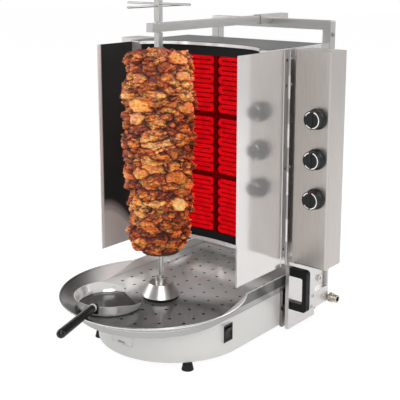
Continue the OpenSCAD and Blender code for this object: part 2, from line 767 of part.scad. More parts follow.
module top_plate() color("gray") {
    translate([0, 0, cab_top_z - sheet]) linear_extrude(sheet) cabinet_plan();
    translate([0, 0, cab_top_z - sheet - lip_h]) linear_extrude(lip_h) full_strip(0, sheet / 2, wall_end[0]);
    translate([0, 0, cab_top_z - 2 * sheet]) linear_extrude(sheet) difference() {
        translate([-cab_half, wall_y + carrier_off + 2 * sheet])
            square([cab_w, cab_rear_y - wall_y - carrier_off - 2 * sheet]);
        translate([-cab_half + base_fold, wall_y + carrier_off + 3 * sheet])
            square([cab_w - 2 * base_fold, cab_rear_y - wall_y - carrier_off - base_fold]);
    }
    for (x = [false, true]) side(x)
        block([burner_end_x + free_gap, cab_front_y, cab_top_z - 2 * sheet],
            [cab_half, wall_y + carrier_off + 2 * sheet, cab_top_z - sheet]);
}

module upper_band() color("#141414") translate([0, 0, burners_top_z])
    linear_extrude(cab_top_z - sheet - burners_top_z) full_strip(band_off, band_off + sheet / 2, wall_end[0]);

module lower_band() color("#141414") translate([0, 0, cab_z + sheet])
    linear_extrude(burner_z - cab_z - sheet) full_strip(band_off, band_off + sheet / 2, wall_end[0]);

module burner_carrier() color("#2b1512") {
    difference() {
        translate([0, 0, cab_z + sheet]) linear_extrude(cab_h - 2 * sheet)
            full_strip(carrier_off, carrier_off + sheet / 2, burner_end_x);
        for (x = [-mix_x, mix_x], i = [0 : 2])
            translate([x, 0, burner_z + burner_h / 2 + i * burner_pitch])
                rod_y(mix_r + 1 + free_gap, wall_y + carrier_off - 2 * sheet - 10, wall_y + carrier_off + 10);
    }
    translate([0, 0, burner_z]) linear_extrude(burners_top_z - burner_z)
        full_strip(band_off, carrier_off, column_gap / 2 - 1);
    for (i = [0, 1]) translate([0, 0, burner_z + burner_h + i * burner_pitch]) linear_extrude(burner_gap)
        full_strip(face_off, carrier_off, burner_end_x);
}

// a burner: a plenum with a ceramic face that follows the wall, and its mixing tube
module burner(right, row) color("#8a1a12") side(right) {
    translate([0, 0, burner_z + row * burner_pitch]) linear_extrude(burner_h)
        half_strip(face_off, carrier_off, column_gap / 2, burner_end_x);
    translate([0, pipe_y, burner_z + burner_h / 2 + row * burner_pitch])
        rod_x(mix_r, mix_x - mix_r - 2, cab_half - 2 * sheet - 10);
    translate([mix_x, 0, burner_z + burner_h / 2 + row * burner_pitch])
        rod_y(mix_r + 1, wall_y + carrier_off - 12, pipe_y);
}

module loop_front() {
    pitch = burner_h / loops;
    high = pitch * loop_share;
    bar = high * bar_share;
    for (row = [0 : 2], i = [0 : loops - 1])
        translate([0, burner_z + row * burner_pitch + (i + 0.5) * pitch]) difference() {
            rounded_plan([column_gap / 2 + 1, -high / 2], [loop_end_x, high / 2], high / 2 - 0.01);
            rounded_plan([column_gap / 2 + 1 + bar, -high / 2 + bar], [loop_end_x - bar, high / 2 - bar],
                high / 2 - bar - 0.01);
        }
}

module radiants(right) color("#d01616") side(right) intersection() {
    translate([0, 0, burner_z]) linear_extrude(burners_top_z - burner_z)
        half_strip(bar_off, face_off, column_gap / 2, burner_end_x);
    translate([0, cab_rear_y, 0]) rotate([90, 0, 0]) linear_extrude(cab_rear_y - cab_front_y + over, $fn = 24)
        loop_front();
}

// wings on long hinges

knuckle_l = wing_h / knuckles;

module knuckle_row(first) for (i = [first : 2 : knuckles - 1])
    translate([hinge_x, hinge_y, wing_z + i * knuckle_l + knuckle_gap / 2])
        cylinder(r = knuckle_r, h = knuckle_l - knuckle_gap, $fn = 24);

module wing(right) color("gainsboro") side(right) difference() {
    union() {
        block([wing_x, hinge_y - wing_len, wing_z], [wing_x + wing_t, hinge_y - knuckle_r - 1, wing_z + wing_h]);
        block([wing_x + wing_t, hinge_y - wing_len, wing_z], [wing_x + wing_t * 2, hinge_y - wing_len + wing_hem, wing_z + wing_h]);
        block([wing_x + wing_t, hinge_y - leaf_w, wing_z], [wing_x + wing_t + leaf_t, hinge_y - knuckle_r - 1, wing_z + wing_h]);
        for (i = [1 : 2 : knuckles - 1])
            block([wing_x + wing_t, hinge_y - knuckle_r - 1 - over, wing_z + i * knuckle_l + knuckle_gap / 2],
                [wing_x + wing_t + leaf_t, hinge_y, wing_z + (i + 1) * knuckle_l - knuckle_gap / 2]);
        knuckle_row(1);
    }
    translate([hinge_x, hinge_y, wing_z - over]) cylinder(r = pin_r + run_gap, h = wing_h + 2 * over, $fn = 24);
}

module hinge_leaf(right) color("silver") side(right) {
    difference() {
        union() {
            block([cab_half, hinge_y + knuckle_r + 1, max(wing_z, cab_z)],
                [cab_half + leaf_t, hinge_y + leaf_w + 3, wing_z + wing_h]);
            for (i = [0 : 2 : knuckles - 1])
                block([cab_half + free_gap, hinge_y, max(wing_z, cab_z, wing_z + i * knuckle_l + knuckle_gap / 2)],
                    [cab_half + leaf_t, hinge_y + knuckle_r + 1 + over,
                    wing_z + (i + 1) * knuckle_l - knuckle_gap / 2]);
            knuckle_row(0);
        }
        translate([hinge_x, hinge_y, wing_z - over]) cylinder(r = pin_r + run_gap, h = wing_h + 2 * over, $fn = 24);
    }
    translate([hinge_x, hinge_y, wing_z]) cylinder(r = pin_r + run_gap, h = knuckle_gap, $fn = 24);
    translate([hinge_x, hinge_y, wing_z]) cylinder(r = pin_r, h = wing_h - 1, $fn = 24);
}

// control boxes, taps, gas pipe and knobs

module control_box(right) color("silver") side(right) difference() {
    union() {
        difference() {
            translate([0, 0, box_z]) linear_extrude(box_h)
                rounded_plan([box_in, box_front_y], [box_out, box_front_y + box_d], box_r, $fn = 48);
            translate([0, 0, box_z + sheet]) linear_extrude(box_h - 2 * sheet)
                rounded_plan([box_in + sheet, box_front_y + sheet],
                    [box_out - sheet, box_front_y + box_d - sheet], box_r - sheet / 2, $fn = 48);
        }
        block([cab_half, pipe_y - neck_d / 2, box_z + 30], [box_in + sheet, pipe_y + neck_d / 2, box_z + 30 + neck_h]);
    }
    block([cab_half - over, pipe_y - neck_d / 2 + sheet, box_z + 30 + sheet],
        [box_in + 2 * sheet, pipe_y + neck_d / 2 - sheet, box_z + 30 + neck_h - sheet]);
    for (i = [0 : 2]) translate([knob_x, 0, knob_z + i * knob_pitch])
        rod_y(stem_hole_r, box_front_y - over, box_front_y + 2 * sheet);
    translate([knob_x, pipe_y, box_z - over]) cylinder(r = pipe_r + 1, h = 2 * sheet + over);
}

// a tap sits on the pipe, and its spout feeds the burner beside it
module gas_taps(right) color("goldenrod") side(right) for (i = [0 : 2]) {
    spout_z = burner_z + burner_h / 2 + i * burner_pitch;
    tap_z = knob_z + i * knob_pitch;
    difference() {
        union() {
            translate([knob_x, 0, tap_z]) {
                rod_y(tap_r, box_front_y + sheet + 6, box_front_y + sheet + 6 + tap_l);
                rod_y(stem_r + 3, box_front_y + sheet, box_front_y + sheet + 7);
            }
            block([knob_x - tap_r, pipe_y - pipe_r - 3, tap_z - tap_r], [knob_x + tap_r, pipe_y + pipe_r + 3, tap_z + tap_r]);
            translate([box_in + 12, pipe_y, min(tap_z, spout_z) - 4]) cylinder(r = 4, h = abs(tap_z - spout_z) + 8);
            translate([0, pipe_y, tap_z]) rod_x(4, box_in + 12, knob_x - tap_r + over);
            translate([0, pipe_y, spout_z]) rod_x(4, cab_half - 2 * sheet - 8, box_in + 12);
        }
        translate([knob_x, pipe_y, tap_z - tap_r - over]) cylinder(r = pipe_r + run_gap, h = 2 * tap_r + 2 * over);
        translate([knob_x, 0, tap_z]) rod_y(stem_r + run_gap, box_front_y, box_front_y + sheet + 18);
    }
}

module gas_pipe() color("darkkhaki") {
    for (x = [false, true]) side(x) {
        translate([knob_x, pipe_y, pipe_z]) cylinder(r = pipe_r, h = knob_z + 2 * knob_pitch + pipe_over - pipe_z);
        translate([knob_x, pipe_y, pipe_z]) sphere(pipe_r);
        translate([0, pipe_y, pipe_z]) rod_x(pipe_r, pipe_x, knob_x);
        translate([pipe_x, pipe_y, pipe_z]) sphere(pipe_r);
        translate([pipe_x, 0, pipe_z]) rod_y(pipe_r, pipe_y, cross_pipe_y);
        translate([pipe_x, cross_pipe_y, pipe_z]) sphere(pipe_r);
        translate([0, cross_pipe_y, pipe_z]) rod_x(pipe_r, 0, pipe_x);
    }
    translate([drop_x, 0, pipe_z]) rod_y(pipe_r * 0.8, cross_pipe_y, drop_y);
    translate([drop_x, drop_y, pipe_z]) sphere(pipe_r * 0.8);
    translate([drop_x, drop_y, inlet_z]) cylinder(r = pipe_r * 0.8, h = pipe_z - inlet_z);
    translate([drop_x, drop_y, inlet_z]) sphere(pipe_r * 0.8);
    translate([0, drop_y, inlet_z]) rod_x(pipe_r * 0.8, drop_x, nut_x);
}

module inlet_union() color("darkgoldenrod") translate([0, drop_y, inlet_z]) difference() {
    union() {
        translate([nut_x, 0, 0]) rotate([0, 90, 0]) cylinder(r = nut_r, h = nut_l, $fn = 6);
        rod_x(inlet_r, nut_x + nut_l, nut_x + nut_l + inlet_l);
    }
    rod_x(inlet_r - 3.5, nut_x + 2, nut_x + nut_l + inlet_l + over);
}

module knob(right, row) color("#1a1a1a") side(right)
    translate([knob_x, box_front_y - over, knob_z + row * knob_pitch]) rotate([90, 0, 0]) difference() {
        union() {
            cylinder(d = knob_d * 1.12, h = knob_l * 0.16);
            translate([0, 0, knob_l * 0.16])
                cylinder(d1 = knob_d * 1.12, d2 = knob_d * 0.98, h = knob_l * 0.14);
            translate([0, 0, knob_l * 0.3]) cylinder(d = knob_d * 0.92, h = knob_l * 0.46);
            translate([0, 0, knob_l * 0.76]) cylinder(d = knob_d, h = knob_l * 0.16);
            translate([-knob_d * 0.11, -knob_d * 0.44, knob_l * 0.9])
                cube([knob_d * 0.22, knob_d * 0.88, knob_l * 0.1]);
            translate([0, 0, -sheet - 16]) cylinder(r = stem_r, h = sheet + 17);
        }
        translate([0, 0, knob_l * 0.88]) difference() {
            cylinder(d = knob_d * 0.9, h = knob_l * 0.2);
            cylinder(d = knob_d * 0.74, h = knob_l * 0.2);
        }
    }

// rear frame, sleeve and arm

module rear_frame() color("silver") difference() {
    union() {
        for (x = [false, true]) side(x) {
            block([frame_w / 2 - tube, frame_y, frame_foot_z], [frame_w / 2, frame_y + tube, frame_h]);
            block([frame_w / 2 - tube + 2, cab_rear_y, stay_z], [frame_w / 2 - 2, frame_y, stay_z + stay_t]);
            for (z = [frame_foot_z + stay_t, cab_z - 3 * stay_t])
                block([frame_w / 2 - tube + 2, chassis_rear_y, z], [frame_w / 2 - 2, frame_y, z + stay_t]);
        }
        block([-frame_w / 2, frame_y, frame_h - tube], [frame_w / 2, frame_y + tube, frame_h]);
    }
    for (x = [false, true]) side(x)
        block([frame_w / 2 - tube + tube_wall, frame_y + tube_wall, frame_foot_z - over],
            [frame_w / 2 - tube_wall, frame_y + tube - tube_wall, frame_h - tube_wall]);
    block([-frame_w / 2 + tube_wall, frame_y + tube_wall, frame_h - tube + tube_wall],
        [frame_w / 2 - tube_wall, frame_y + tube - tube_wall, frame_h - tube_wall]);
    block([-sleeve_t / 2, frame_y - over, arm_z - sleeve_t / 2],
        [sleeve_t / 2, frame_y + tube + over, frame_h + over]);
}

module arm_sleeve() color("darkgray") translate([0, 0, arm_z])
    square_tube_y(sleeve_t, arm_wall, sleeve_y, sleeve_end_y);

module arm() color("silver") difference() {
    union() {
        translate([0, 0, arm_z]) square_tube_y(arm_t, arm_wall, arm_front_y, arm_rear_y);
        block([-arm_t / 2, arm_front_y, arm_low_z], [arm_t / 2, arm_front_y + arm_wall, arm_top_z]);
    }
    translate([0, spit_y, arm_low_z - over]) cylinder(r = bush_r, h = arm_t + 2 * over);
}

module arm_bush() color("darkgoldenrod") translate([0, spit_y, arm_low_z]) difference() {
    union() {
        cylinder(r = bush_r, h = arm_t);
        translate([0, 0, arm_t]) cylinder(r = bush_r + 1.4, h = bush_lip);
    }
    translate([0, 0, -over]) cylinder(r = shank_d / 2 + run_gap, h = arm_t + bush_lip + 2 * over);
}

// spit

module square_bar(size, z0, z1) block([-size / 2, -size / 2, z0], [size / 2, size / 2, z1]);

module spit_bar() color("gainsboro") translate([0, spit_y, 0]) {
    translate([0, 0, rod_seat_z]) cylinder(d = rod_d, h = meat_z - rod_seat_z + over);
    square_bar(bar_w, meat_z, shank_z);
    translate([0, 0, shank_z - over]) cylinder(d = shank_d, h = shank_top_z - shank_z + over);
}

module spit_disc() color("silver") translate([0, spit_y, meat_z]) difference() {
    union() {
        translate([0, 0, -disc_t]) cylinder(r = disc_r, h = disc_t);
        translate([0, 0, -disc_t - 10]) cylinder(d = rod_d + 8, h = 10 + over);
    }
    translate([0, 0, -disc_t - 10 - over]) cylinder(r = rod_d / 2 + run_gap, h = disc_t + 10 + 2 * over);
}

module spit_head() color("gainsboro") translate([0, spit_y, 0]) difference() {
    square_bar(bar_w, head_z, total_h);
    translate([0, 0, head_z - over]) cylinder(r = shank_d / 2 + run_gap, h = shank_top_z + run_gap - head_z + over);
    translate([0, 0, cross_z]) rod_y(cross_rod_d / 2 + run_gap, -bar_w, bar_w);
    translate([0, 0, cross_z + cross_rod_d + over / 2]) rod_x(cross_rod_d / 2 + run_gap, -bar_w, bar_w);
}

module cross_rods() color("gray") translate([0, spit_y, cross_z]) {
    rod_y(cross_rod_d / 2, -cross_rod_l / 2, cross_rod_l / 2);
    translate([0, 0, cross_rod_d + over / 2]) rod_x(cross_rod_d / 2, -cross_rod_l * 0.475, cross_rod_l * 0.475);
}

module drive_cone() color("lightgray") translate([0, spit_y, 0]) difference() {
    union() {
        translate([0, 0, cone_z]) cylinder(r1 = cone_d / 2, r2 = cone_d * 0.31, h = cone_h);
        translate([0, 0, cone_z + cone_h - over]) cylinder(r = neck_r, h = neck_top_z - cone_z - cone_h + over);
    }
    difference() {
        translate([0, 0, cone_z - over]) cylinder(r1 = cone_d / 2 - 3, r2 = cone_d * 0.31 - 3, h = cone_h - 2);
        cylinder(r = neck_r, h = neck_top_z);
    }
    translate([0, 0, cone_z - over]) cylinder(r = shaft_d / 2 + run_gap, h = rod_seat_z - cone_z - free_gap + over);
    translate([0, 0, rod_seat_z - free_gap - over]) cylinder(r = rod_d / 2 + run_gap, h = neck_top_z - rod_seat_z + 3 * over);
}

// height and radius along the stack of meat, as shares of its height and widest radius
meat_shares = [[0, 0.64], [0.025, 0.78], [0.09, 0.85], [0.2, 0.9], [0.4, 0.96], [0.55, 1], [0.8, 1],
    [0.93, 0.965], [0.985, 0.9], [1, 0.76]];

function meat_share(t) = lookup(t, meat_shares);

module meat() color("sienna") translate([0, spit_y, meat_z]) difference() {
    rotate_extrude($fn = fine) polygon(concat([[0, 0], [meat_r * meat_share(0), 0]],
        [for (i = [0 : slices - 1], k = [0.12, 0.42, 0.9]) let (t = (i + k) / slices)
            [meat_r * meat_share(t) - (k == 0.9 ? slice_edge : 0), meat_h * t]],
        [[meat_r * meat_share(1), meat_h], [0, meat_h]]));
    translate([0, 0, -over]) linear_extrude(meat_h + 2 * over)
        square(bar_w + 2 * free_gap, center = true);
}

// loose pan

module pan() color("gainsboro") translate([pan_x, pan_y, pan_z]) difference() {
    rotate_extrude($fn = fine) polygon([[0, 0], [pan_foot_r, 0], [pan_foot_r + pan_t, pan_t],
        [pan_r, pan_h], [pan_r - pan_t, pan_h], [pan_foot_r, 2 * pan_t], [pan_foot_r - pan_t, pan_t], [0, pan_t]]);
    rotate([0, 0, -pan_open_az]) {
        block([-2 * pan_r, pan_lip, -over], [2 * pan_r, 2 * pan_r, pan_h + over]);
        translate([0, 0, pan_h]) rotate([-pan_drop_angle, 0, 0])
            block([-2 * pan_r, -2 * pan_r, 0], [2 * pan_r, 2 * pan_r, pan_h]);
    }
}

module pan_handle() color("#161616") translate([pan_x, pan_y, pan_z]) difference() {
    union() {
        translate([0, 0, pan_h - 2]) rotate([0, 0, pan_az]) rotate([-pan_rise, 0, 0]) {
            rod_y(pan_grip_d / 2, -pan_grip_end, -pan_r - pan_grip_l * pan_mount_share);
            translate([0, -pan_grip_end, 0]) sphere(pan_grip_d / 2);
            rod_y(pan_grip_d * 0.34, -pan_r - pan_grip_l * pan_mount_share - over, -pan_r - pan_mount_out / 2);
        }
        rotate([0, 0, pan_az])
            block([-pan_mount_w / 2, -pan_r - pan_mount_out, pan_h * 0.45],
                [pan_mount_w / 2, -pan_r + pan_mount_in, pan_h + pan_mount_up]);
    }
    rotate_extrude($fn = fine) polygon([[0, 0], [pan_foot_r, 0], [pan_foot_r + pan_t, pan_t],
        [pan_r, pan_h], [0, pan_h * 2]]);
}

base_shell();
base_floor();
feet();
gear_motor();
drive_shaft();
screws();
drip_tray();
plate(false);  // plate_left
plate(true);  // plate_right
shaft_seal();
drawer_runners();
fat_drawer();
switch_housing();
switch_rocker();
guide_rails();
glide_bars();
chassis();
cabinet_shell();
top_plate();
upper_band();
lower_band();
burner_carrier();
burner(false, 0);  // burner_left_low
burner(false, 1);  // burner_left_mid
burner(false, 2);  // burner_left_top
burner(true, 0);  // burner_right_low
burner(true, 1);  // burner_right_mid
burner(true, 2);  // burner_right_top
radiants(false);  // radiants_left
radiants(true);  // radiants_right
wing(false);  // wing_left
wing(true);  // wing_right
hinge_leaf(false);  // hinge_leaf_left
hinge_leaf(true);  // hinge_leaf_right
control_box(false);  // control_box_left
control_box(true);  // control_box_right
gas_taps(false);  // gas_taps_left
gas_taps(true);  // gas_taps_right
gas_pipe();
inlet_union();
knob(false, 0);  // knob_left_low
knob(false, 1);  // knob_left_mid
knob(false, 2);  // knob_left_top
knob(true, 0);  // knob_right_low
knob(true, 1);  // knob_right_mid
knob(true, 2);  // knob_right_top
side_handle(false);  // side_handle_left
side_handle(true);  // side_handle_right
rear_frame();
arm_sleeve();
arm();
arm_bush();
spit_bar();
spit_disc();
spit_head();
cross_rods();
drive_cone();
meat();
pan();
pan_handle();
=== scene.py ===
import bpy, bmesh, math
from mathutils import Matrix, Vector, noise


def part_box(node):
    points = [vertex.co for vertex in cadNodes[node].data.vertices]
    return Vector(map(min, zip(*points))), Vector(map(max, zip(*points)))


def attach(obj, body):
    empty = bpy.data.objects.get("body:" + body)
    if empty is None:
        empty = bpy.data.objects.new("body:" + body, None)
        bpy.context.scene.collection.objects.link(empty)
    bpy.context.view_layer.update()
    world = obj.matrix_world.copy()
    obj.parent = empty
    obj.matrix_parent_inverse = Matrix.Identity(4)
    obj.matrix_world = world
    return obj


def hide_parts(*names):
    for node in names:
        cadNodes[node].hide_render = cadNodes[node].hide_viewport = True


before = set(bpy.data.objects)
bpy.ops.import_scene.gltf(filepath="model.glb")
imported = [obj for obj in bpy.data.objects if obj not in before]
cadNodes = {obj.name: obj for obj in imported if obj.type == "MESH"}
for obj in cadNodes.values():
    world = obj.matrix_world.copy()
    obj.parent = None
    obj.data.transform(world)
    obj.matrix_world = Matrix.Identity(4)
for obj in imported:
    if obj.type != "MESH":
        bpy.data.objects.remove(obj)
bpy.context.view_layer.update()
print("grill frame loaded:", len(cadNodes), "nodes")


# colours: tables hold screen values of 0-255, sockets hold linear ones

def linear(colour):
    return tuple(((c / 255 + 0.055) / 1.055) ** 2.4 if c > 10 else c / 255 / 12.92 for c in colour) + (1.0,)


def scaled(colour, share):
    return tuple(c * share for c in linear(colour)[:3]) + (1.0,)


def darker(colour, step):
    return tuple(c - step for c in colour)


def grey(value):
    return (value, value, value, 1.0)


# small helpers for node trees

def startMaterial(name):
    mat = bpy.data.materials.new(name)
    mat.use_nodes = True
    return mat, mat.node_tree, mat.node_tree.nodes["Principled BSDF"]


def feed(tree, socket, value):  # a number or colour is set on the socket, an output is linked to it
    if isinstance(value, (int, float, tuple)):
        socket.default_value = value
    else:
        tree.links.new(value, socket)


def mathNode(tree, kind, a, b):
    node = tree.nodes.new("ShaderNodeMath")
    node.operation = kind
    feed(tree, node.inputs[0], a)
    feed(tree, node.inputs[1], b)
    return node.outputs[0]


def plus(tree, a, b):
    return mathNode(tree, "ADD", a, b)


def times(tree, a, b):
    return mathNode(tree, "MULTIPLY", a, b)


def mixColour(tree, factor, a, b):
    node = tree.nodes.new("ShaderNodeMix")
    node.data_type = "RGBA"
    for index, value in ((0, factor), (6, a), (7, b)):
        feed(tree, node.inputs[index], value)
    return node.outputs[2]


def mapRange(tree, value, start, end, low=0.0, high=1.0, soft=False):
    node = tree.nodes.new("ShaderNodeMapRange")
    if soft:
        node.interpolation_type = "SMOOTHSTEP"
    given = (("Value", value), ("From Min", start), ("From Max", end), ("To Min", low), ("To Max", high))
    for label, number in given:
        feed(tree, node.inputs[label], number)
    return node.outputs[0]


def stepAt(tree, value, edge, half=0.0002):  # 0 below the edge, 1 above it
    return mapRange(tree, value, edge - half, edge + half)


def ramp(tree, source, stops):  # stops of (place, linear colour)
    node = tree.nodes.new("ShaderNodeValToRGB")
    cells = node.color_ramp.elements
    while len(cells) < len(stops):
        cells.new(0.5)
    for cell, (at, colour) in zip(cells, stops):
        cell.position = at
        cell.color = colour
    tree.links.new(source, node.inputs[0])
    return node.outputs[0]


def tintRamp(tree, source, stops):  # stops of (place, screen colour)
    return ramp(tree, source, [(at, linear(colour)) for at, colour in stops])


def greyRamp(tree, source, stops):  # stops of (place, value)
    return ramp(tree, source, [(at, grey(value)) for at, value in stops])


def objectPlace(tree):
    return tree.nodes.new("ShaderNodeTexCoord").outputs["Object"]


def split(tree, vector):
    node = tree.nodes.new("ShaderNodeSeparateXYZ")
    tree.links.new(vector, node.inputs[0])
    return node.outputs[0], node.outputs[1], node.outputs[2]


def stretched(tree, place, scale):
    node = tree.nodes.new("ShaderNodeMapping")
    tree.links.new(place, node.inputs["Vector"])
    feed(tree, node.inputs["Scale"], scale)
    return node.outputs[0]


def noiseNode(tree, place, scale, detail=2.0, rough=0.5):
    node = tree.nodes.new("ShaderNodeTexNoise")
    for label, value in (("Vector", place), ("Scale", scale), ("Detail", detail), ("Roughness", rough)):
        feed(tree, node.inputs[label], value)
    return node.outputs["Fac"]


def attribute(tree, name):
    node = tree.nodes.new("ShaderNodeAttribute")
    node.attribute_name = name
    return node.outputs["Fac"]


def bumpFrom(tree, bsdf, height, strength, distance):
    node = tree.nodes.new("ShaderNodeBump")
    node.inputs["Strength"].default_value = strength
    node.inputs["Distance"].default_value = distance
    tree.links.new(height, node.inputs["Height"])
    tree.links.new(node.outputs[0], bsdf.inputs["Normal"])


# shared effects

def makeGroup(name, inputs, outputs):
    group = bpy.data.node_groups.new(name, "ShaderNodeTree")
    for label, kind, value in inputs:
        socket = group.interface.new_socket(label, in_out="INPUT", socket_type=kind)
        socket.default_value = value
    for label in outputs:
        group.interface.new_socket(label, in_out="OUTPUT", socket_type="NodeSocketFloat")
    return group, group.nodes.new("NodeGroupInput"), group.nodes.new("NodeGroupOutput")


def placeGroup(tree, group, **values):
    node = tree.nodes.new("ShaderNodeGroup")
    node.node_tree = group
    for key, value in values.items():
        node.inputs[key].default_value = value
    return node


def makeSheetGrain():  # long fine lines, as a sheet has after grinding, and a slow cloud of wear
    inputs = [("Stretch", "NodeSocketVector", (1, 1, 1)), ("Scale", "NodeSocketFloat", 900.0)]
    group, given, result = makeGroup("sheetGrain", inputs, ("Line", "Cloud"))
    place = objectPlace(group)
    lines = stretched(group, place, given.outputs["Stretch"])
    group.links.new(noiseNode(group, lines, given.outputs["Scale"]), result.inputs["Line"])
    group.links.new(noiseNode(group, place, 7.0, detail=3.0), result.inputs["Cloud"])
    return group


def makeMouldedGrain():  # fine pores of moulded plastic and rubber, and patches of rubbing
    group, given, result = makeGroup("mouldedGrain", [("Scale", "NodeSocketFloat", 1500.0)], ("Pore", "Rub"))
    place = objectPlace(group)
    group.links.new(noiseNode(group, place, given.outputs["Scale"], detail=3.0), result.inputs["Pore"])
    group.links.new(noiseNode(group, place, 35.0), result.inputs["Rub"])
    return group


sheetGrain = makeSheetGrain()
mouldedGrain = makeMouldedGrain()


# materials

steelLook = {"lines": (0.32, 0.68), "wear": (0.3, 0.7), "lineShare": 0.45, "cloudShare": 0.55, "bump": 0.00006}


def steel(name, colour, rough, stretch=(1, 1, 0.02), depth=0.25, lineScale=900.0,
          metallic=1.0, spread=0.06, shade=0.88, below=None, tones=None):
    look = steelLook
    mat, tree, bsdf = startMaterial(name)
    bsdf.inputs["Metallic"].default_value = metallic
    grain = placeGroup(tree, sheetGrain, Stretch=stretch, Scale=lineScale)
    line, cloud = grain.outputs["Line"], grain.outputs["Cloud"]
    tint = ramp(tree, line, list(zip(look["lines"], (scaled(colour, shade), linear(colour)))))
    if below:  # another tone under this height, on a lip, and as painted shade on a floor
        z = split(tree, objectPlace(tree))[2]
        tint = mixColour(tree, stepAt(tree, z, below[0]), linear(below[1]), tint)
    if tones:
        tint = tones(tree, bsdf, tint)
    tree.links.new(tint, bsdf.inputs["Base Color"])
    wear = plus(tree, times(tree, line, look["lineShare"]), times(tree, cloud, look["cloudShare"]))
    rub = greyRamp(tree, wear, list(zip(look["wear"], (rough - spread * 0.5, rough + spread))))
    tree.links.new(rub, bsdf.inputs["Roughness"])
    bumpFrom(tree, bsdf, line, depth, look["bump"])
    return mat


# The tones of the dish, the plates and the pan's floor stand for reflections and shadows in the photo.
# They are fixed to the piece, so they stay where they are when the view or the light changes.

dishLook = {
    "floorZ": 0.1176, "floor": (172, 171, 169),
    "centreY": -0.095, "wellRadius": 0.178, "wellShade": (14, 13, 12),  # the part of the floor under the plates, painted near black as shade
    "dark": (66, 65, 64), "sideWay": (-0.86, -0.5), "side": (0.13, 0.215), "sideShare": 0.88,
    "front": (-0.215, -0.262), "frontShare": 0.7,
    "rear": (-0.20, -0.09), "pale": (246, 245, 243), "metallic": 0.8, "rearMetallic": 0.25,
    "outsideY": (-0.19, -0.10), "outsideFront": (226, 225, 223), "outsideSide": (110, 108, 106),
    "steepest": 0.3, "outward": 0.02,
}


def dishTones(tree, bsdf, tint):
    look = dishLook
    x, y, z = split(tree, objectPlace(tree))
    behind = plus(tree, y, -look["centreY"])
    ahead = mathNode(tree, "MINIMUM", behind, 0.0)
    # painted shade below the floor: grey, and near black in the well that shows through the holes of the plates
    reach = plus(tree, times(tree, x, x), times(tree, ahead, ahead))
    inWell = mathNode(tree, "LESS_THAN", reach, look["wellRadius"] ** 2)
    lowTint = mixColour(tree, inWell, linear(look["floor"]), linear(look["wellShade"]))
    # painted dark reflection and shade on the flare at its left and front
    slant = plus(tree, times(tree, x, look["sideWay"][0]), times(tree, behind, look["sideWay"][1]))
    side = mapRange(tree, slant, *look["side"], high=look["sideShare"], soft=True)
    front = mapRange(tree, y, *look["front"], high=look["frontShare"])
    dark = mathNode(tree, "MAXIMUM", side, front)
    # on the outside of the flare, a painted light tone at the front and painted shade along the sides
    normalX, normalY, normalZ = split(tree, tree.nodes.new("ShaderNodeNewGeometry").outputs["Normal"])
    outward = plus(tree, times(tree, normalX, x), times(tree, normalY, ahead))
    outside = times(tree, mathNode(tree, "LESS_THAN", normalZ, look["steepest"]),
                    mathNode(tree, "GREATER_THAN", outward, look["outward"]))
    along = mapRange(tree, y, *look["outsideY"])
    outsideTint = mixColour(tree, along, linear(look["outsideFront"]), linear(look["outsideSide"]))
    # the rear is painted paler as a painted highlight, and made less of a mirror, where the dark inside of the
    # wing would show in it as a reflection
    rear = mapRange(tree, y, *look["rear"])
    loss = times(tree, rear, look["metallic"] - look["rearMetallic"])
    tree.links.new(mathNode(tree, "SUBTRACT", look["metallic"], loss), bsdf.inputs["Metallic"])
    tint = mixColour(tree, rear, tint, linear(look["pale"]))
    tint = mixColour(tree, dark, tint, linear(look["dark"]))
    tint = mixColour(tree, outside, tint, outsideTint)
    return mixColour(tree, stepAt(tree, z, look["floorZ"]), lowTint, tint)


plateLook = {"way": (0.5, -0.87), "edge": (0.03, 0.10), "share": 0.85, "dark": (66, 65, 64)}


def plateTones(tree, _, tint):  # painted dark reflection over the front right of the plates
    look = plateLook
    x, y = split(tree, objectPlace(tree))[:2]
    slant = plus(tree, times(tree, x, look["way"][0]), times(tree, y, look["way"][1]))
    share = mapRange(tree, slant, *look["edge"], high=look["share"], soft=True)
    return mixColour(tree, share, tint, linear(look["dark"]))


mouldedLook = {
    "rub": (0.3, 0.75), "shades": (0.75, 1.25), "wear": (0.3, 0.7), "gloss": (0.8, 1.2), "bump": 0.0001,
}


def moulded(name, colour, rough, pores=1500.0, depth=0.3, shine=0.5):
    look = mouldedLook
    mat, tree, bsdf = startMaterial(name)
    bsdf.inputs["Specular IOR Level"].default_value = shine
    grain = placeGroup(tree, mouldedGrain, Scale=pores)
    rub = grain.outputs["Rub"]
    tint = ramp(tree, rub, [(at, scaled(colour, share)) for at, share in zip(look["rub"], look["shades"])])
    tree.links.new(tint, bsdf.inputs["Base Color"])
    wear = greyRamp(tree, rub, [(at, rough * share) for at, share in zip(look["wear"], look["gloss"])])
    tree.links.new(wear, bsdf.inputs["Roughness"])
    bumpFrom(tree, bsdf, grain.outputs["Pore"], depth, look["bump"])
    return mat


glowLook = {"body": (0.05, 0.004, 0.004, 1.0), "cool": 0.36, "hot": 0.6, "detail": 4.0, "strength": 1.0,
            "rough": 0.7, "depth": 0.2, "bump": 0.0004}


def glowing(name, hot, cool, scale):
    look = glowLook
    mat, tree, bsdf = startMaterial(name)
    heat = noiseNode(tree, objectPlace(tree), scale, look["detail"])
    tint = tintRamp(tree, heat, [(look["cool"], cool), (look["hot"], hot)])
    tree.links.new(tint, bsdf.inputs["Emission Color"])
    bsdf.inputs["Base Color"].default_value = look["body"]
    bsdf.inputs["Specular IOR Level"].default_value = 0.0
    bsdf.inputs["Emission Strength"].default_value = look["strength"]
    bsdf.inputs["Roughness"].default_value = look["rough"]
    bumpFrom(tree, bsdf, heat, look["depth"], look["bump"])
    return mat


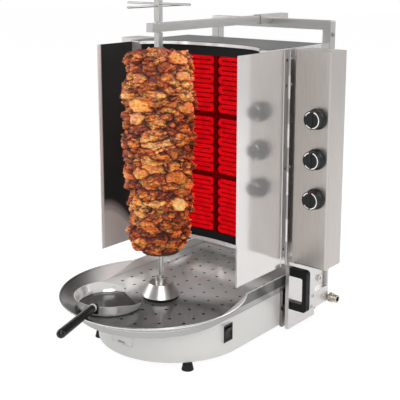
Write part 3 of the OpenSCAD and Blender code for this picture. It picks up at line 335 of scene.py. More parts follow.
wingLook = {
    "innerX": 0.2147, "outerX": 0.2160,
    "shadeZ": (0.283, 0.322), "shadeLeast": 0.26, "curveY": -0.044, "curve": 7.5, "lipY": (-0.048, -0.044),
    "metallic": 0.72, "metalLoss": 0.6, "specular": 0.3, "stretch": (1, 1, 0.02), "lineScale": 800.0,
    "stops": (0.3, 0.7), "bareStep": 10, "shadeStep": 12, "rough": (0.10, 0.14), "shadeRough": 0.3,
    "depth": 0.2, "bump": 0.00005,
}


def wingSteel(name, sign, bare, shadedTone):  # the outside is bare steel, the inside is painted dark as painted shade
    look = wingLook
    mat, tree, bsdf = startMaterial(name)
    bsdf.inputs["Specular IOR Level"].default_value = look["specular"]
    grain = placeGroup(tree, sheetGrain, Stretch=look["stretch"], Scale=look["lineScale"])
    line, cloud = grain.outputs["Line"], grain.outputs["Cloud"]
    x, y, z = split(tree, objectPlace(tree))
    inside = mapRange(tree, x, look["outerX"] * sign, look["innerX"] * sign)
    # the painted shade ends in a curve that falls away from the front edge, which stays bare
    run = mathNode(tree, "MAXIMUM", plus(tree, y, -look["curveY"]), 0.0)
    fall = times(tree, times(tree, run, run), look["curve"])
    high = mapRange(tree, plus(tree, z, fall), *look["shadeZ"], low=look["shadeLeast"])
    lip = mapRange(tree, y, *look["lipY"])
    # painted shade on the inside face, stronger higher up and none at the front edge
    paintedShade = times(tree, times(tree, inside, high), lip)
    metal = mathNode(tree, "SUBTRACT", look["metallic"], times(tree, inside, look["metalLoss"]))
    tree.links.new(metal, bsdf.inputs["Metallic"])
    first, last = look["stops"]
    lines = tintRamp(tree, line, [(first, darker(bare, look["bareStep"])), (last, bare)])
    shadeTint = tintRamp(tree, cloud, [(first, darker(shadedTone, look["shadeStep"])), (last, shadedTone)])
    tree.links.new(mixColour(tree, paintedShade, lines, shadeTint), bsdf.inputs["Base Color"])
    rub = greyRamp(tree, cloud, list(zip(look["stops"], look["rough"])))
    tree.links.new(plus(tree, rub, times(tree, paintedShade, look["shadeRough"])), bsdf.inputs["Roughness"])
    bumpFrom(tree, bsdf, line, look["depth"], look["bump"])
    return mat


roastLook = {
    "flatten": (1.0, 1.0, 2.2),
    # noises: scale, detail and roughness
    "patch": (9.0, 3.0, 0.6), "fibre": (120.0, 6.0, 0.75), "blot": (46.0, 6.0, 0.72),
    "pinkSpots": (24.0, 2.0, 0.6), "goldSpots": (33.0, 2.0, 0.6),
    # what makes the flesh lighter, each with its share and the value that counts as nothing
    "scrapShare": 0.30, "fibreShare": 1.5, "fibreZero": 0.5, "cavityShare": 0.34,
    "patchShare": 0.8, "patchZero": 0.4, "calmShare": 0.08,
    "flesh": [(0.16, (122, 36, 10)), (0.30, (180, 74, 20)), (0.43, (218, 108, 36)),
              (0.56, (238, 142, 58)), (0.72, (246, 176, 92)), (0.90, (252, 214, 150))],
    "pinkZ": (0.36, 0.62), "pinkLeast": 0.12, "pinkEdge": [(0.50, 0.0), (0.62, 0.75)],
    "pink": [(0.3, (190, 84, 54)), (0.7, (240, 164, 126))],
    "goldEdge": [(0.52, 0.0), (0.60, 0.7)], "gold": [(0.25, (150, 92, 24)), (0.7, (240, 190, 104))],
    "burntEdge": [(0.48, 0.0), (0.58, 0.92)], "burnt": (88, 22, 8), "calmSpares": 0.8,
    "seamEdge": [(0.0, 0.9), (0.34, 0.0)], "seam": (50, 10, 6),
    "wet": [(0.38, 0.24), (0.62, 0.55)], "specular": 0.22, "coat": 0.07, "coatRough": 0.12,
    "blotRelief": 0.6, "fibreRelief": 0.5, "depth": 0.8, "bump": 0.0030,
}


def roastedMeat(name, look):
    # "cavity" comes with the mesh: 0 in the seams between the scraps, 1 on their backs
    mat, tree, bsdf = startMaterial(name)
    place = objectPlace(tree)
    flat = stretched(tree, place, look["flatten"])
    patch = noiseNode(tree, place, *look["patch"])
    fibre = noiseNode(tree, flat, *look["fibre"])
    blot = noiseNode(tree, flat, *look["blot"])
    cavity, scrap, calm = (attribute(tree, label) for label in ("cavity", "scrapTone", "calmPatch"))
    fibreOff = mathNode(tree, "SUBTRACT", fibre, look["fibreZero"])
    patchOff = mathNode(tree, "SUBTRACT", patch, look["patchZero"])
    tone = times(tree, scrap, look["scrapShare"])
    tone = plus(tree, tone, times(tree, fibreOff, look["fibreShare"]))
    # painted light and shade: the cavity lightens the backs of the scraps and darkens the seams
    tone = plus(tree, tone, times(tree, cavity, look["cavityShare"]))
    tone = plus(tree, tone, times(tree, patchOff, look["patchShare"]))
    tone = plus(tree, tone, times(tree, calm, look["calmShare"]))
    tint = tintRamp(tree, tone, look["flesh"])
    # some slices stay pink, above all in the upper half, and others are golden with fat
    z = split(tree, place)[2]
    upper = mapRange(tree, z, *look["pinkZ"], low=look["pinkLeast"])
    rosy = greyRamp(tree, noiseNode(tree, flat, *look["pinkSpots"]), look["pinkEdge"])
    tint = mixColour(tree, times(tree, rosy, upper), tint, tintRamp(tree, tone, look["pink"]))
    golden = greyRamp(tree, noiseNode(tree, flat, *look["goldSpots"]), look["goldEdge"])
    tint = mixColour(tree, golden, tint, tintRamp(tree, tone, look["gold"]))
    # burnt edges, and painted shade in the seams between the scraps
    spared = mathNode(tree, "SUBTRACT", 1.0, times(tree, calm, look["calmSpares"]))
    char = times(tree, greyRamp(tree, blot, look["burntEdge"]), spared)
    tint = mixColour(tree, char, tint, linear(look["burnt"]))
    tint = mixColour(tree, greyRamp(tree, cavity, look["seamEdge"]), tint, linear(look["seam"]))
    tree.links.new(tint, bsdf.inputs["Base Color"])
    tree.links.new(greyRamp(tree, fibre, look["wet"]), bsdf.inputs["Roughness"])
    bsdf.inputs["Specular IOR Level"].default_value = look["specular"]
    bsdf.inputs["Coat Weight"].default_value = look["coat"]
    bsdf.inputs["Coat Roughness"].default_value = look["coatRough"]
    relief = plus(tree, times(tree, blot, look["blotRelief"]), times(tree, fibre, look["fibreRelief"]))
    bumpFrom(tree, bsdf, relief, look["depth"], look["bump"])
    return mat


print("materials")
finishes = {
    "caseSteel": steel("caseSteel", (214, 213, 210), 0.36, (0.02, 0.02, 1), 0.03, 700.0,
                       metallic=0.35, shade=0.98),
    "dishSteel": steel("dishSteel", (204, 204, 204), 0.17, (0.05, 1, 1), 0.05, 500.0,
                       metallic=dishLook["metallic"], spread=0.04, shade=0.95, tones=dishTones),
    "plateSteel": steel("plateSteel", (222, 221, 219), 0.13, (1, 0.02, 1), 0.04, 700.0,
                        metallic=0.45, spread=0.04, shade=0.96, tones=plateTones),
    "cabinetSteel": steel("cabinetSteel", (214, 212, 210), 0.28, (1, 1, 0.02), 0.1, metallic=0.7, shade=0.94),
    "topSteel": steel("topSteel", (84, 83, 82), 0.4, (0.02, 1, 1), 0.12,
                      metallic=0.4, below=(0.7186, (214, 213, 212))),
    "boxSteel": steel("boxSteel", (200, 194, 190), 0.33, (1, 1, 0.02), 0.3),
    "frameSteel": steel("frameSteel", (192, 190, 188), 0.34, (0.03, 0.03, 1), 0.25),
    "armSteel": steel("armSteel", (194, 192, 190), 0.32, (1, 0.02, 1), 0.25),
    "chassisSteel": steel("chassisSteel", (220, 217, 216), 0.3, (1, 0.02, 1), 0.2),
    "spitSteel": steel("spitSteel", (196, 195, 193), 0.26, (1, 1, 0.05), 0.12, 500.0),
    "turnedSteel": steel("turnedSteel", (206, 204, 201), 0.3, (0.03, 0.03, 1), 0.06, 700.0),
    "rodSteel": steel("rodSteel", (196, 194, 192), 0.28, (0.05, 0.05, 1), 0.1),
    # the dark below is painted shade on the pan's floor, with a painted contact shadow line round the outside
    # bottom
    "panSteel": steel("panSteel", (240, 239, 237), 0.15, (0.1, 0.1, 1), 0.02, 400.0,
                      metallic=0.62, spread=0.05, shade=0.96, below=(0.1224, (74, 72, 70))),
    "discSteel": steel("discSteel", (74, 52, 38), 0.42, (0.03, 0.03, 1), 0.3, 700.0, metallic=0.5),
    "railSteel": steel("railSteel", (150, 146, 142), 0.36, (1, 0.02, 1), 0.2),
    "boltSteel": steel("boltSteel", (72, 68, 64), 0.4, (1, 1, 1), 0.1, metallic=0.6),
    "blackEnamel": moulded("blackEnamel", (19, 25, 25), 0.55, 900.0, 0.2, 0.12),
    # the carrier's dark red is painted glow of the burners on it
    "carrierPaintedGlow": moulded("carrierPaintedGlow", (96, 0, 6), 0.6, 700.0, 0.3, 0.0),
    "knobPlastic": moulded("knobPlastic", (20, 22, 23), 0.36, 1600.0, 0.15, 0.35),
    "gripPlastic": moulded("gripPlastic", (15, 17, 17), 0.45, 1200.0, 0.25, 0.2),
    "panGrip": moulded("panGrip", (10, 10, 11), 0.2, 1200.0, 0.05, 0.35),
    "footRubber": moulded("footRubber", (22, 24, 24), 0.62, 1000.0, 0.35, 0.3),
    "switchPlastic": moulded("switchPlastic", (12, 13, 13), 0.34, 1500.0, 0.12, 0.25),
    "whitePrint": moulded("whitePrint", (236, 236, 234), 0.45, 1600.0, 0.1),
    "redPrint": moulded("redPrint", (176, 22, 36), 0.4, 1600.0, 0.1),
    "motorPaint": moulded("motorPaint", (92, 96, 100), 0.45, 900.0, 0.3),
    "gasBrass": steel("gasBrass", (196, 160, 92), 0.3, (1, 1, 0.1), 0.2),
    "unionMetal": steel("unionMetal", (206, 200, 188), 0.24, (0.05, 1, 1), 0.2),
    "hotBars": glowing("hotBars", (214, 4, 16), (190, 0, 10), 60.0),
    "hotPlaque": glowing("hotPlaque", (118, 0, 5), (92, 0, 4), 90.0),
    "meatRoast": roastedMeat("meatRoast", roastLook),
    "wingLeftSteel": wingSteel("wingLeftSteel", -1, (224, 221, 218), (36, 38, 37)),
    "wingRightSteel": wingSteel("wingRightSteel", 1, (224, 221, 219), (52, 53, 52)),
}

# finish of each node that stays, and the width of its soft edge in metres (0 leaves the edges as they are)
dressing = {
    "caseSteel": {"base_shell": 0.0006, "fat_drawer": 0.0006, "base_floor": 0},
    "dishSteel": {"drip_tray": 0},
    "plateSteel": {"plate_left": 0, "plate_right": 0},
    "cabinetSteel": {"cabinet_shell": 0},
    "topSteel": {"top_plate": 0.0005},
    "boxSteel": {"control_box_left": 0, "control_box_right": 0},
    "frameSteel": {"rear_frame": 0.0012, "hinge_leaf_left": 0, "hinge_leaf_right": 0},
    "armSteel": {"arm": 0.0008, "arm_sleeve": 0.0008},
    "chassisSteel": {"chassis": 0.0003},
    "spitSteel": {"spit_bar": 0.0006, "spit_head": 0.0006},
    "turnedSteel": {"drive_cone": 0.0006, "drive_shaft": 0, "screws": 0},
    "discSteel": {"spit_disc": 0.0004},
    "rodSteel": {"cross_rods": 0},
    "panSteel": {"pan": 0},
    "railSteel": {"guide_rails": 0.0006, "glide_bars": 0.0006, "drawer_runners": 0},
    "blackEnamel": {"upper_band": 0, "lower_band": 0},
    "carrierPaintedGlow": {"burner_carrier": 0},
    "gripPlastic": {"side_handle_left": 0.0022, "side_handle_right": 0.0022},
    "footRubber": {"feet": 0.0015, "shaft_seal": 0.001},
    "switchPlastic": {"switch_housing": 0.0006, "switch_rocker": 0.0006},
    "motorPaint": {"gear_motor": 0},
    "gasBrass": {"gas_taps_left": 0, "gas_taps_right": 0},
    "unionMetal": {"inlet_union": 0.0005, "gas_pipe": 0, "arm_bush": 0},
    "hotBars": {"radiants_left": 0.0008, "radiants_right": 0.0008},
    "hotPlaque": {"burner_%s_%s" % (side, row): 0
                  for side in ("left", "right") for row in ("low", "mid", "top")},
    "wingLeftSteel": {"wing_left": 0},
    "wingRightSteel": {"wing_right": 0},
}
# hidden from reflections and bounce light, so that the sheets near them stay grey
redFinishes = ("hotBars", "hotPlaque", "carrierPaintedGlow")
edgeLook = {"weld": 0.00002, "segments": 2, "bevelAngle": 40, "weight": 90, "splitAngle": 32}


def dressNode(name, finish, edge, look):
    obj = cadNodes[name]
    if not obj.material_slots:
        obj.data.materials.append(None)
    for cell in obj.material_slots:
        cell.link = "OBJECT"
        cell.material = finishes[finish]
    for face in obj.data.polygons:
        face.use_smooth = True
    join = obj.modifiers.new("join", "WELD")
    join.merge_threshold = look["weld"]
    if edge:
        bevel = obj.modifiers.new("edge", "BEVEL")
        bevel.width = edge
        bevel.segments = look["segments"]
        bevel.limit_method = "ANGLE"
        bevel.angle_limit = math.radians(look["bevelAngle"])
        level = obj.modifiers.new("level", "WEIGHTED_NORMAL")
        level.weight = look["weight"]
    else:
        part = obj.modifiers.new("part", "EDGE_SPLIT")
        part.split_angle = math.radians(look["splitAngle"])
    if finish in redFinishes:
        obj.visible_glossy = obj.visible_diffuse = False


for finish, edges in dressing.items():
    for name, edge in edges.items():
        dressNode(name, finish, edge, edgeLook)
print("kept nodes dressed")


# helpers for new pieces

samePoint = 0.000005  # points closer than this, in metres, are one


def finishPiece(bm, name, finish, body, replaced=(), crease=40):  # edges sharper than crease degrees are split
    bmesh.ops.recalc_face_normals(bm, faces=bm.faces)
    mesh = bpy.data.meshes.new(name)
    for face in bm.faces:
        face.smooth = True
    bm.to_mesh(mesh)
    bm.free()
    obj = bpy.data.objects.new(name, mesh)
    bpy.context.scene.collection.objects.link(obj)
    mesh.materials.append(finishes[finish])
    if crease:
        part = obj.modifiers.new("part", "EDGE_SPLIT")
        part.split_angle = math.radians(crease)
    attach(obj, body)
    if replaced:
        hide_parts(*replaced)
    return obj


def freshVerts(bm):  # those that no earlier call of turned has put in place
    return [v for v in bm.verts if not v.tag]


def turned(bm, profile, place, steps, closed=False):  # profile of (radius, height) turned round local Z
    verts = [bm.verts.new((r, 0, h)) for r, h in profile]
    edges = [bm.edges.new(pair) for pair in zip(verts, verts[1:])]
    if closed:
        edges.append(bm.edges.new((verts[-1], verts[0])))
    bmesh.ops.spin(bm, geom=verts + edges, cent=(0, 0, 0), axis=(0, 0, 1), angle=2 * math.pi,
                   steps=steps, use_merge=True)
    bmesh.ops.remove_doubles(bm, verts=freshVerts(bm), dist=samePoint)
    fresh = freshVerts(bm)
    bmesh.ops.transform(bm, matrix=place, verts=fresh)
    for v in fresh:
        v.tag = True


def bevelEdges(bm, edges, width, segments):
    bmesh.ops.bevel(bm, geom=list(edges), offset=width, segments=segments, profile=0.5,
                    affect="EDGES", material=-1)


def block(bm, place, size):  # the edges of a new block, for bevelEdges
    fresh = bmesh.ops.create_cube(bm, size=1.0, matrix=place @ Matrix.Diagonal((*size, 1)))
    return {e for v in fresh["verts"] for e in v.link_edges}


def turnBy(degrees, axis):
    return Matrix.Rotation(math.radians(degrees), 4, axis)


def clamp(value, low=0.0, high=1.0):
    return max(low, min(high, value))


# meat

meatShape = {
    # radius along the height, both as shares
    "shares": [(0, 0.58), (0.02, 0.75), (0.09, 0.85), (0.2, 0.9), (0.4, 0.96), (0.55, 1),
               (0.8, 1), (0.93, 0.965), (0.98, 0.88), (1, 0.66)],
    "seed": 4, "rings": 300, "around": 240,
    "hole": 0.0085, "coreReach": 1.5, "shrink": 0.935, "capShares": (0.3, 0.5),
    # scraps
    "scrap": 21.0, "flat": 2.1, "warp": 0.017, "warpLift": 0.5, "bends": (17, 44), "bendShare": 0.55,
    "scrapEdge": 0.26, "droop": 1.6, "calm": (0.62, 0.78),
    "bulge": 0.0060, "bulgeZero": 0.72, "own": 0.0070, "lean": 0.0036,
    # crumbs on the scraps
    "crumb": 62.0, "crumbFlat": 1.7, "crumbRise": 0.0058, "crumbEdge": 0.4, "crumbZero": 0.6, "crumbOwn": 0.7,
    "crumbCalm": 0.9, "twist": (90, 0.006),
    # fine and broad unevenness
    "fine": (130, 0.8, 2.2, 4), "rough": 0.0022, "broad": (1.5, 5), "broadRise": 0.0040, "ripple": (60, 0.0022),
    # ragged ends
    "topFrom": 0.950, "topLength": 0.050, "topDrop": 0.002, "topRags": ((24, 0.026), (61, 0.012)),
    "bottomTo": 0.03, "bottomRag": (45, 0.006), "bottomLift": 0.003, "endGap": 0.0003,
    # how each of them darkens the seams, as painted shade
    "cavity": {"rise": 0.80, "crumb": 0.45, "fine": 0.12, "base": 0.06, "droop": 0.1, "core": 0.2},
    # each random value of a scrap has its own scale and offset
    "ownSeed": (3.1, (7.3, 1.7, 4.1)), "calmSeed": (4.3, (5.1, 3.3, 9.7)), "toneSeed": (5.7, (2.9, 8.3, 6.1)),
    "crumbSeed": (2.3, (0, 0, 0)),
}


def shareAt(table, t):
    for (t0, v0), (t1, v1) in zip(table, table[1:]):
        if t <= t1:
            return v0 + (v1 - v0) * (t - t0) / (t1 - t0)
    return table[-1][1]


def cellValue(point, seed):  # the same value all over a cell
    scale, offset = seed
    return noise.cell(point * scale + Vector(offset))


def warped(where, bend, warp, lift, flat, scale):  # a place in a bent and flattened space
    return Vector((where.x + bend.x * warp, where.y + bend.y * warp,
                   (where.z + bend.z * warp * lift) * flat)) * scale


def scrapAt(s, where):  # wide flat cells: rise to the back, droop of the lower edge, calm surface, and the cell
    wide, narrow = s["bends"]
    bend = noise.noise_vector(where * wide) + noise.noise_vector(where * narrow) * s["bendShare"]
    spot = warped(where, bend, s["warp"], s["warpLift"], s["flat"], s["scrap"])
    near, cells = noise.voronoi(spot)
    edge = min(1.0, (near[1] - near[0]) / s["scrapEdge"])
    rise = edge * (2 - edge)
    droop = clamp((cells[0].z - spot.z) * s["droop"], -1.0)
    first, last = s["calm"]
    calm = clamp((cellValue(cells[0], s["calmSeed"]) - first) / (last - first)) * rise
    return rise, droop, calm, cells[0]


def crumbAt(s, where, calm):
    twist = noise.noise_vector(where * s["twist"][0]) * s["twist"][1]
    near, cells = noise.voronoi(warped(where, twist, 1.0, 1.0, s["crumbFlat"], s["crumb"]))
    crumb = min(1.0, (near[1] - near[0]) / s["crumbEdge"])
    own = s["crumbOwn"] * (cellValue(cells[0], s["crumbSeed"]) - 0.5)
    return (crumb * (2 - crumb) - s["crumbZero"] + own) * (1 - s["crumbCalm"] * calm)


def makeMeat(s):
    noise.seed_set(s["seed"])  # noise_vector takes its offsets from the clock otherwise
    low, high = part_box("meat")
    centre = Vector(((low[0] + high[0]) / 2, (low[1] + high[1]) / 2, low[2]))
    height, radius, hole = high[2] - low[2], (high[0] - low[0]) / 2 * s["shrink"], s["hole"]
    limit = radius / s["shrink"]
    inner, outer = s["capShares"]
    bm = bmesh.new()
    outline = [(hole, 0.0), (radius * inner, 0.0)]
    for k in range(s["rings"] + 1):
        outline.append((radius * shareAt(s["shares"], k / s["rings"]), height * k / s["rings"]))
    outline += [(radius * outer, height), (radius * inner, height), (hole, height)]
    turned(bm, outline, Matrix.Identity(4), s["around"], closed=True)
    cavity = bm.verts.layers.float.new("cavity")
    scrapTone = bm.verts.layers.float.new("scrapTone")
    calmPatch = bm.verts.layers.float.new("calmPatch")
    shares = s["cavity"]
    for v in bm.verts:
        r = math.hypot(v.co.x, v.co.y)
        where = Vector(v.co)
        if r < hole * s["coreReach"]:
            v[cavity] = shares["core"]
            continue
        t = where.z / height
        out = Vector((where.x / r, where.y / r, 0))
        side = min(1.0, r / (radius * outer))
        rise, droop, calm, cell = scrapAt(s, where)
        crumb = crumbAt(s, where, calm)
        size, dimension, lacunarity, octaves = s["fine"]
        fine = noise.fractal(where * size, dimension, lacunarity, octaves)
        broad = noise.noise(Vector((out.x * s["broad"][0], out.y * s["broad"][0], t * s["broad"][1])))
        own = cellValue(cell, s["ownSeed"])
        move = s["bulge"] * (rise - s["bulgeZero"]) + s["own"] * (own - 0.5) + s["lean"] * droop * rise \
            + s["rough"] * fine + s["broadRise"] * broad
        move += s["crumbRise"] * crumb
        v[cavity] = clamp(rise * shares["rise"] + shares["crumb"] * crumb + shares["fine"] * fine
                          + shares["base"] + shares["droop"] * droop)
        v[calmPatch] = calm
        v[scrapTone] = clamp(cellValue(cell, s["toneSeed"]))
        v.co += out * move * side
        v.co.z += noise.noise(where * s["ripple"][0]) * s["ripple"][1] * side
        (wide, wideDrop), (narrow, narrowDrop) = s["topRags"]
        drop = s["topDrop"] + wideDrop * abs(noise.noise(where * wide)) \
            + narrowDrop * abs(noise.noise(where * narrow))
        v.co.z -= drop * clamp((t - s["topFrom"]) / s["topLength"]) * side
        if t < s["bottomTo"]:
            lift = noise.noise(where * s["bottomRag"][0]) * s["bottomRag"][1] + s["bottomLift"]
            v.co.z += lift * side * (1 - t / s["bottomTo"])
        v.co.z = min(max(v.co.z, s["endGap"]), height - s["endGap"])
        reach = math.hypot(v.co.x, v.co.y)
        if reach > limit:
            v.co.x *= limit / reach
            v.co.y *= limit / reach
    bmesh.ops.translate(bm, vec=centre, verts=bm.verts)
    obj = finishPiece(bm, "stackedMeat", "meatRoast", "spit", ("meat",), crease=0)
    obj.visible_glossy = False
    print("meat", len(obj.data.vertices), "vertices")
    return obj


roast = makeMeat(meatShape)


# knobs

knobShape = {
    "seat": 0.018,  # from the back of the knob's solid to the face that it stands on
    "skirt": [(0.0, 0.0), (0.0246, 0.0), (0.0250, 0.0008), (0.0250, 0.0040), (0.0226, 0.0080)],
    "waist": [(0.0206, 0.0095), (0.0202, 0.0185)],
    "cap": [(0.0216, 0.0200), (0.0222, 0.0212), (0.0222, 0.0236), (0.0214, 0.0246), (0.0, 0.0249)],
    "steps": 56, "capHeight": 0.0249,
    "bar": (0.0048, 0.0380, 0.0018), "barSink": 0.0004, "barEdge": 0.0007,
    "ringIn": 0.0176, "ringOut": 0.0200, "ringLift": 0.00035, "ringHeight": 0.0246, "ringSteps": 40,
    "arcs": [(74, 214), (152, 46)],  # start and turn in degrees
    "mark": (0.0028, 0.0052, 0.0012), "markPlace": 0.0182, "markEdge": 0.0003,
}


def makeKnob(name, s):
    low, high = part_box(name)
    seat = ((low[0] + high[0]) / 2, high[1] - s["seat"], (low[2] + high[2]) / 2)
    place = Matrix.Translation(seat) @ turnBy(90, "X")
    bm = bmesh.new()
    turned(bm, s["skirt"] + s["waist"] + s["cap"], place, s["steps"])
    barHeight = s["capHeight"] + s["bar"][2] / 2 - s["barSink"]
    bevelEdges(bm, block(bm, place @ Matrix.Translation((0, 0, barHeight)), s["bar"]), s["barEdge"], 2)
    obj = finishPiece(bm, name + "_body", "knobPlastic", name, (name,))
    # the scale ring is printed on the cap in two arcs
    bm = bmesh.new()
    section = ((s["ringIn"], 0), (s["ringOut"], 0), (s["ringOut"], s["ringLift"]), (s["ringIn"], s["ringLift"]))
    for start, turn in s["arcs"]:
        verts = [bm.verts.new((r, 0, h)) for r, h in section]
        face = bm.faces.new(verts)
        bmesh.ops.rotate(bm, cent=(0, 0, 0), matrix=Matrix.Rotation(math.radians(start), 3, "Z"), verts=verts)
        bmesh.ops.spin(bm, geom=[face] + verts + list(face.edges), cent=(0, 0, 0), axis=(0, 0, -1),
                       angle=math.radians(turn), steps=s["ringSteps"], use_merge=False)
    bmesh.ops.remove_doubles(bm, verts=bm.verts, dist=samePoint)
    bmesh.ops.transform(bm, matrix=place @ Matrix.Translation((0, 0, s["ringHeight"])), verts=bm.verts)
    finishPiece(bm, name + "_ring", "whitePrint", name)
    # the red mark
    bm = bmesh.new()
    markPlace = place @ Matrix.Translation((0, s["markPlace"], s["capHeight"]))
    block(bm, markPlace, s["mark"])
    bevelEdges(bm, bm.edges, s["markEdge"], 1)
    finishPiece(bm, name + "_mark", "redPrint", name)


for side in ("left", "right"):
    for row in ("low", "mid", "top"):
        makeKnob("knob_%s_%s" % (side, row), knobShape)
print("knobs")


# grip of the pan

panGrip = {
    "middle": (-0.060, -0.184), "turn": 24.0, "rise": 4.0, "rim": 0.084, "length": 0.1903, "lift": 0.025,
    "bar": [(0.0, -0.0098), (0.0040, -0.0088), (0.0076, -0.0060), (0.0094, -0.0026), (0.0100, 0.002),
            (0.0099, 0.050), (0.0096, 0.110), (0.0093, 0.1600), (0.0086, 0.1660), (0.0, 0.1660)],
    "ferrule": [(0.0, 0.1655), (0.0086, 0.1660), (0.0094, 0.1664), (0.0096, 0.1700), (0.0088, 0.1730),
                (0.0070, 0.1734), (0.0, 0.1734)],
    "neck": [(0.0, 0.1725), (0.0066, 0.1730), (0.0064, 0.178), (0.0066, 0.1868), (0.0, 0.1868)],
    "steps": 40, "neckSteps": 32,
    "bracketPlace": (0, -0.0868, 0.0215), "bracketTilt": -16, "bracket": (0.0130, 0.0062, 0.0200),
    "bracketEdge": 0.0016,
}


def makePanGrip(s):
    centre = Vector((*s["middle"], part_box("pan")[0][2]))
    base = Matrix.Translation(centre + Vector((0, 0, s["lift"]))) \
        @ turnBy(s["turn"], "Z") @ turnBy(-s["rise"], "X")
    place = base @ Matrix.Translation((0, -s["rim"] - s["length"], 0)) @ turnBy(-90, "X")
    bm = bmesh.new()
    turned(bm, s["bar"], place, s["steps"])
    grip = finishPiece(bm, "panGripBar", "panGrip", "pan", ("pan_handle",))
    bm = bmesh.new()
    turned(bm, s["ferrule"], place, s["steps"])
    finishPiece(bm, "panGripFerrule", "panSteel", "pan")
    bm = bmesh.new()
    turned(bm, s["neck"], place, s["neckSteps"])
    bracketPlace = Matrix.Translation(centre) @ turnBy(s["turn"], "Z") \
        @ Matrix.Translation(s["bracketPlace"]) @ turnBy(s["bracketTilt"], "X")
    bevelEdges(bm, block(bm, bracketPlace, s["bracket"]), s["bracketEdge"], 3)
    finishPiece(bm, "panGripMount", "panGrip", "pan")


makePanGrip(panGrip)
print("pan grip")


# screws on the wings and bolt heads on the rear frame

wingScrews = {
    "faceX": 0.2176, "rearY": 0.1448, "fromRear": 0.0125, "heights": (0.082, 0.462, 0.84, 0.954),
    "radius": 0.0036, "proud": 0.0011, "shoulder": 0.6, "steps": 16,
}


def makeWingScrews(s):
    r, proud, share = s["radius"], s["proud"], s["shoulder"]
    head = [(0.0, 0.0), (r, 0.0), (r, proud * share), (r * share, proud), (0.0, proud)]
    for side, sign in (("left", -1), ("right", 1)):
        low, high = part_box("wing_" + side)
        bm = bmesh.new()
        for height in s["heights"]:
            spot = (s["faceX"] * sign, s["rearY"] - s["fromRear"], low[2] + (high[2] - low[2]) * height)
            turned(bm, head, Matrix.Translation(spot) @ turnBy(90 * sign, "Y"), s["steps"])
        finishPiece(bm, "wingScrews_" + side, "boltSteel", "wing_" + side)


makeWingScrews(wingScrews)

frameBolts = {
    "signs": {"topFrameBolt": 1, "topFrameBoltLeft": -1}, "place": (0.1925, 0.379, 0.735),
    "radius": 0.0060, "height": 0.0022, "sink": 0.001, "shoulder": 0.7, "top": 0.8, "steps": 24,
}


def makeFrameBolts(s):
    r, height = s["radius"], s["height"]
    head = [(0.0, -s["sink"]), (r, -s["sink"]), (r, height * s["shoulder"]),
            (r * s["top"], height), (0.0, height)]
    x, y, z = s["place"]
    for name, sign in s["signs"].items():
        bm = bmesh.new()
        turned(bm, head, Matrix.Translation((x * sign, y, z)) @ turnBy(90 * sign, "Y"), s["steps"])
        finishPiece(bm, name, "railSteel", "carriage")


makeFrameBolts(frameBolts)


# studio

studio = {
    "floor": 14.0, "floorColour": 0.9, "floorWhite": 0.86, "floorGloss": 0.45, "floorGlow": 1.08,
    "sky": [(0.3, 0.80), (0.48, 0.95), (0.56, 0.75), (0.70, 0.60), (0.82, 0.22), (0.93, 0.30), (0.975, 1.0)],
    "aim": (0, 0, 0.4),
    "lamps": {  # place, size and power
        "key": ((2.3, -2.2, 2.6), 2.2, 70.0),
        "fill": ((-2.6, -1.2, 1.6), 2.0, 34.0),
        "back": ((1.3, 2.7, 2.0), 1.8, 34.0),
        "top": ((0.0, 0.1, 3.2), 2.2, 34.0),
    },
}
glow = {
    "place": (0.0, 0.095, 0.46), "size": (0.30, 0.42), "power": 1.7, "fan": 60.0, "colour": (1.0, 0.03, 0.01),
}


def makeFloor(s):
    bm = bmesh.new()
    bmesh.ops.create_grid(bm, x_segments=2, y_segments=2, size=s["floor"])
    mesh = bpy.data.meshes.new("studioFloor")
    bm.to_mesh(mesh)
    bm.free()
    floor = bpy.data.objects.new("studioFloor", mesh)
    bpy.context.scene.collection.objects.link(floor)
    mat, tree, bsdf = startMaterial("studioFloor")
    bsdf.inputs["Base Color"].default_value = grey(s["floorColour"])
    bsdf.inputs["Roughness"].default_value = 1.0
    bsdf.inputs["Specular IOR Level"].default_value = 0.0
    light = tree.nodes.new("ShaderNodeEmission")
    light.inputs["Strength"].default_value = s["floorGlow"]
    path = tree.nodes.new("ShaderNodeLightPath")
    share = mathNode(tree, "MAXIMUM", times(tree, path.outputs["Is Camera Ray"], s["floorWhite"]),
                     times(tree, path.outputs["Is Glossy Ray"], s["floorGloss"]))
    both = tree.nodes.new("ShaderNodeMixShader")
    for socket, source in zip(both.inputs, (share, bsdf.outputs[0], light.outputs[0])):
        tree.links.new(source, socket)
    tree.links.new(both.outputs[0], tree.nodes["Material Output"].inputs["Surface"])
    mesh.materials.append(mat)


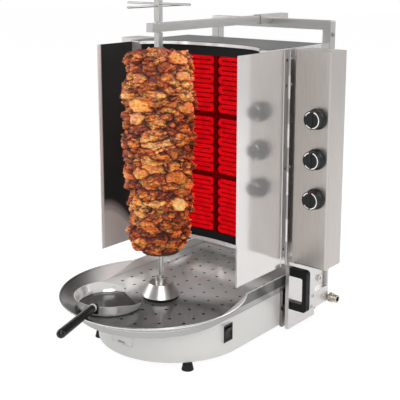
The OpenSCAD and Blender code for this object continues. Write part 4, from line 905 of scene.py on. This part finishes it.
def makeWorld(s):  # white to the camera, and lighter and darker bands in reflections
    world = bpy.data.worlds.new("studioWorld")
    bpy.context.scene.world = world
    world.use_nodes = True
    tree = world.node_tree
    up = split(tree, tree.nodes.new("ShaderNodeTexCoord").outputs["Generated"])[2]
    sky = greyRamp(tree, mapRange(tree, up, -1.0, 1.0), s["sky"])
    path = tree.nodes.new("ShaderNodeLightPath")
    seen = mixColour(tree, path.outputs["Is Camera Ray"], sky, grey(1.0))
    tree.links.new(seen, tree.nodes["Background"].inputs["Color"])
    tree.nodes["Background"].inputs["Strength"].default_value = 1.0


def makeLamps(s):
    for label, (spot, size, power) in s["lamps"].items():
        lamp = bpy.data.lights.new(label, "AREA")
        lamp.shape, lamp.size, lamp.energy = "SQUARE", size, power
        obj = bpy.data.objects.new(label, lamp)
        obj.location = spot
        obj.rotation_mode = "QUATERNION"
        obj.rotation_quaternion = (Vector(s["aim"]) - Vector(spot)).to_track_quat("-Z", "Y")
        bpy.context.scene.collection.objects.link(obj)


def makeGlow(s, roast):  # stands in for the burners' light, on the meat alone, so that the sheets stay grey
    lamp = bpy.data.lights.new("glow", "AREA")
    lamp.shape, lamp.energy, lamp.color = "RECTANGLE", s["power"], s["colour"]
    lamp.size, lamp.size_y = s["size"]
    lamp.spread = math.radians(s["fan"])
    obj = bpy.data.objects.new("glow", lamp)
    obj.location = s["place"]
    obj.rotation_euler = (math.radians(-90), 0, 0)
    obj.visible_glossy = False
    lit = bpy.data.collections.new("lit by the glow")
    lit.objects.link(roast)
    obj.light_linking.receiver_collection = lit
    bpy.context.scene.collection.objects.link(obj)


bpy.context.scene.view_settings.view_transform = "Standard"
makeFloor(studio)
makeWorld(studio)
makeLamps(studio)
makeGlow(glow, roast)

photoView = {"place": (1.315634, -1.524635, 0.905375), "azimuth": 39.359, "down": 11.237,
             "lens": 76.933, "sensor": 36.0, "shift": -0.16, "far": 60.0}


def makeCamera(s):
    camera = bpy.data.objects.new("photoCamera", bpy.data.cameras.new("photoCamera"))
    bpy.context.scene.collection.objects.link(camera)
    a, d = math.radians(s["azimuth"]), math.radians(s["down"])
    look = Vector((-math.sin(a) * math.cos(d), math.cos(a) * math.cos(d), -math.sin(d)))
    camera.location = s["place"]
    camera.rotation_mode = "QUATERNION"
    camera.rotation_quaternion = look.to_track_quat("-Z", "Y")
    camera.data.sensor_width, camera.data.lens, camera.data.shift_y = s["sensor"], s["lens"], s["shift"]
    camera.data.clip_end = s["far"]
    bpy.context.scene.camera = camera


makeCamera(photoView)
print("studio and camera")
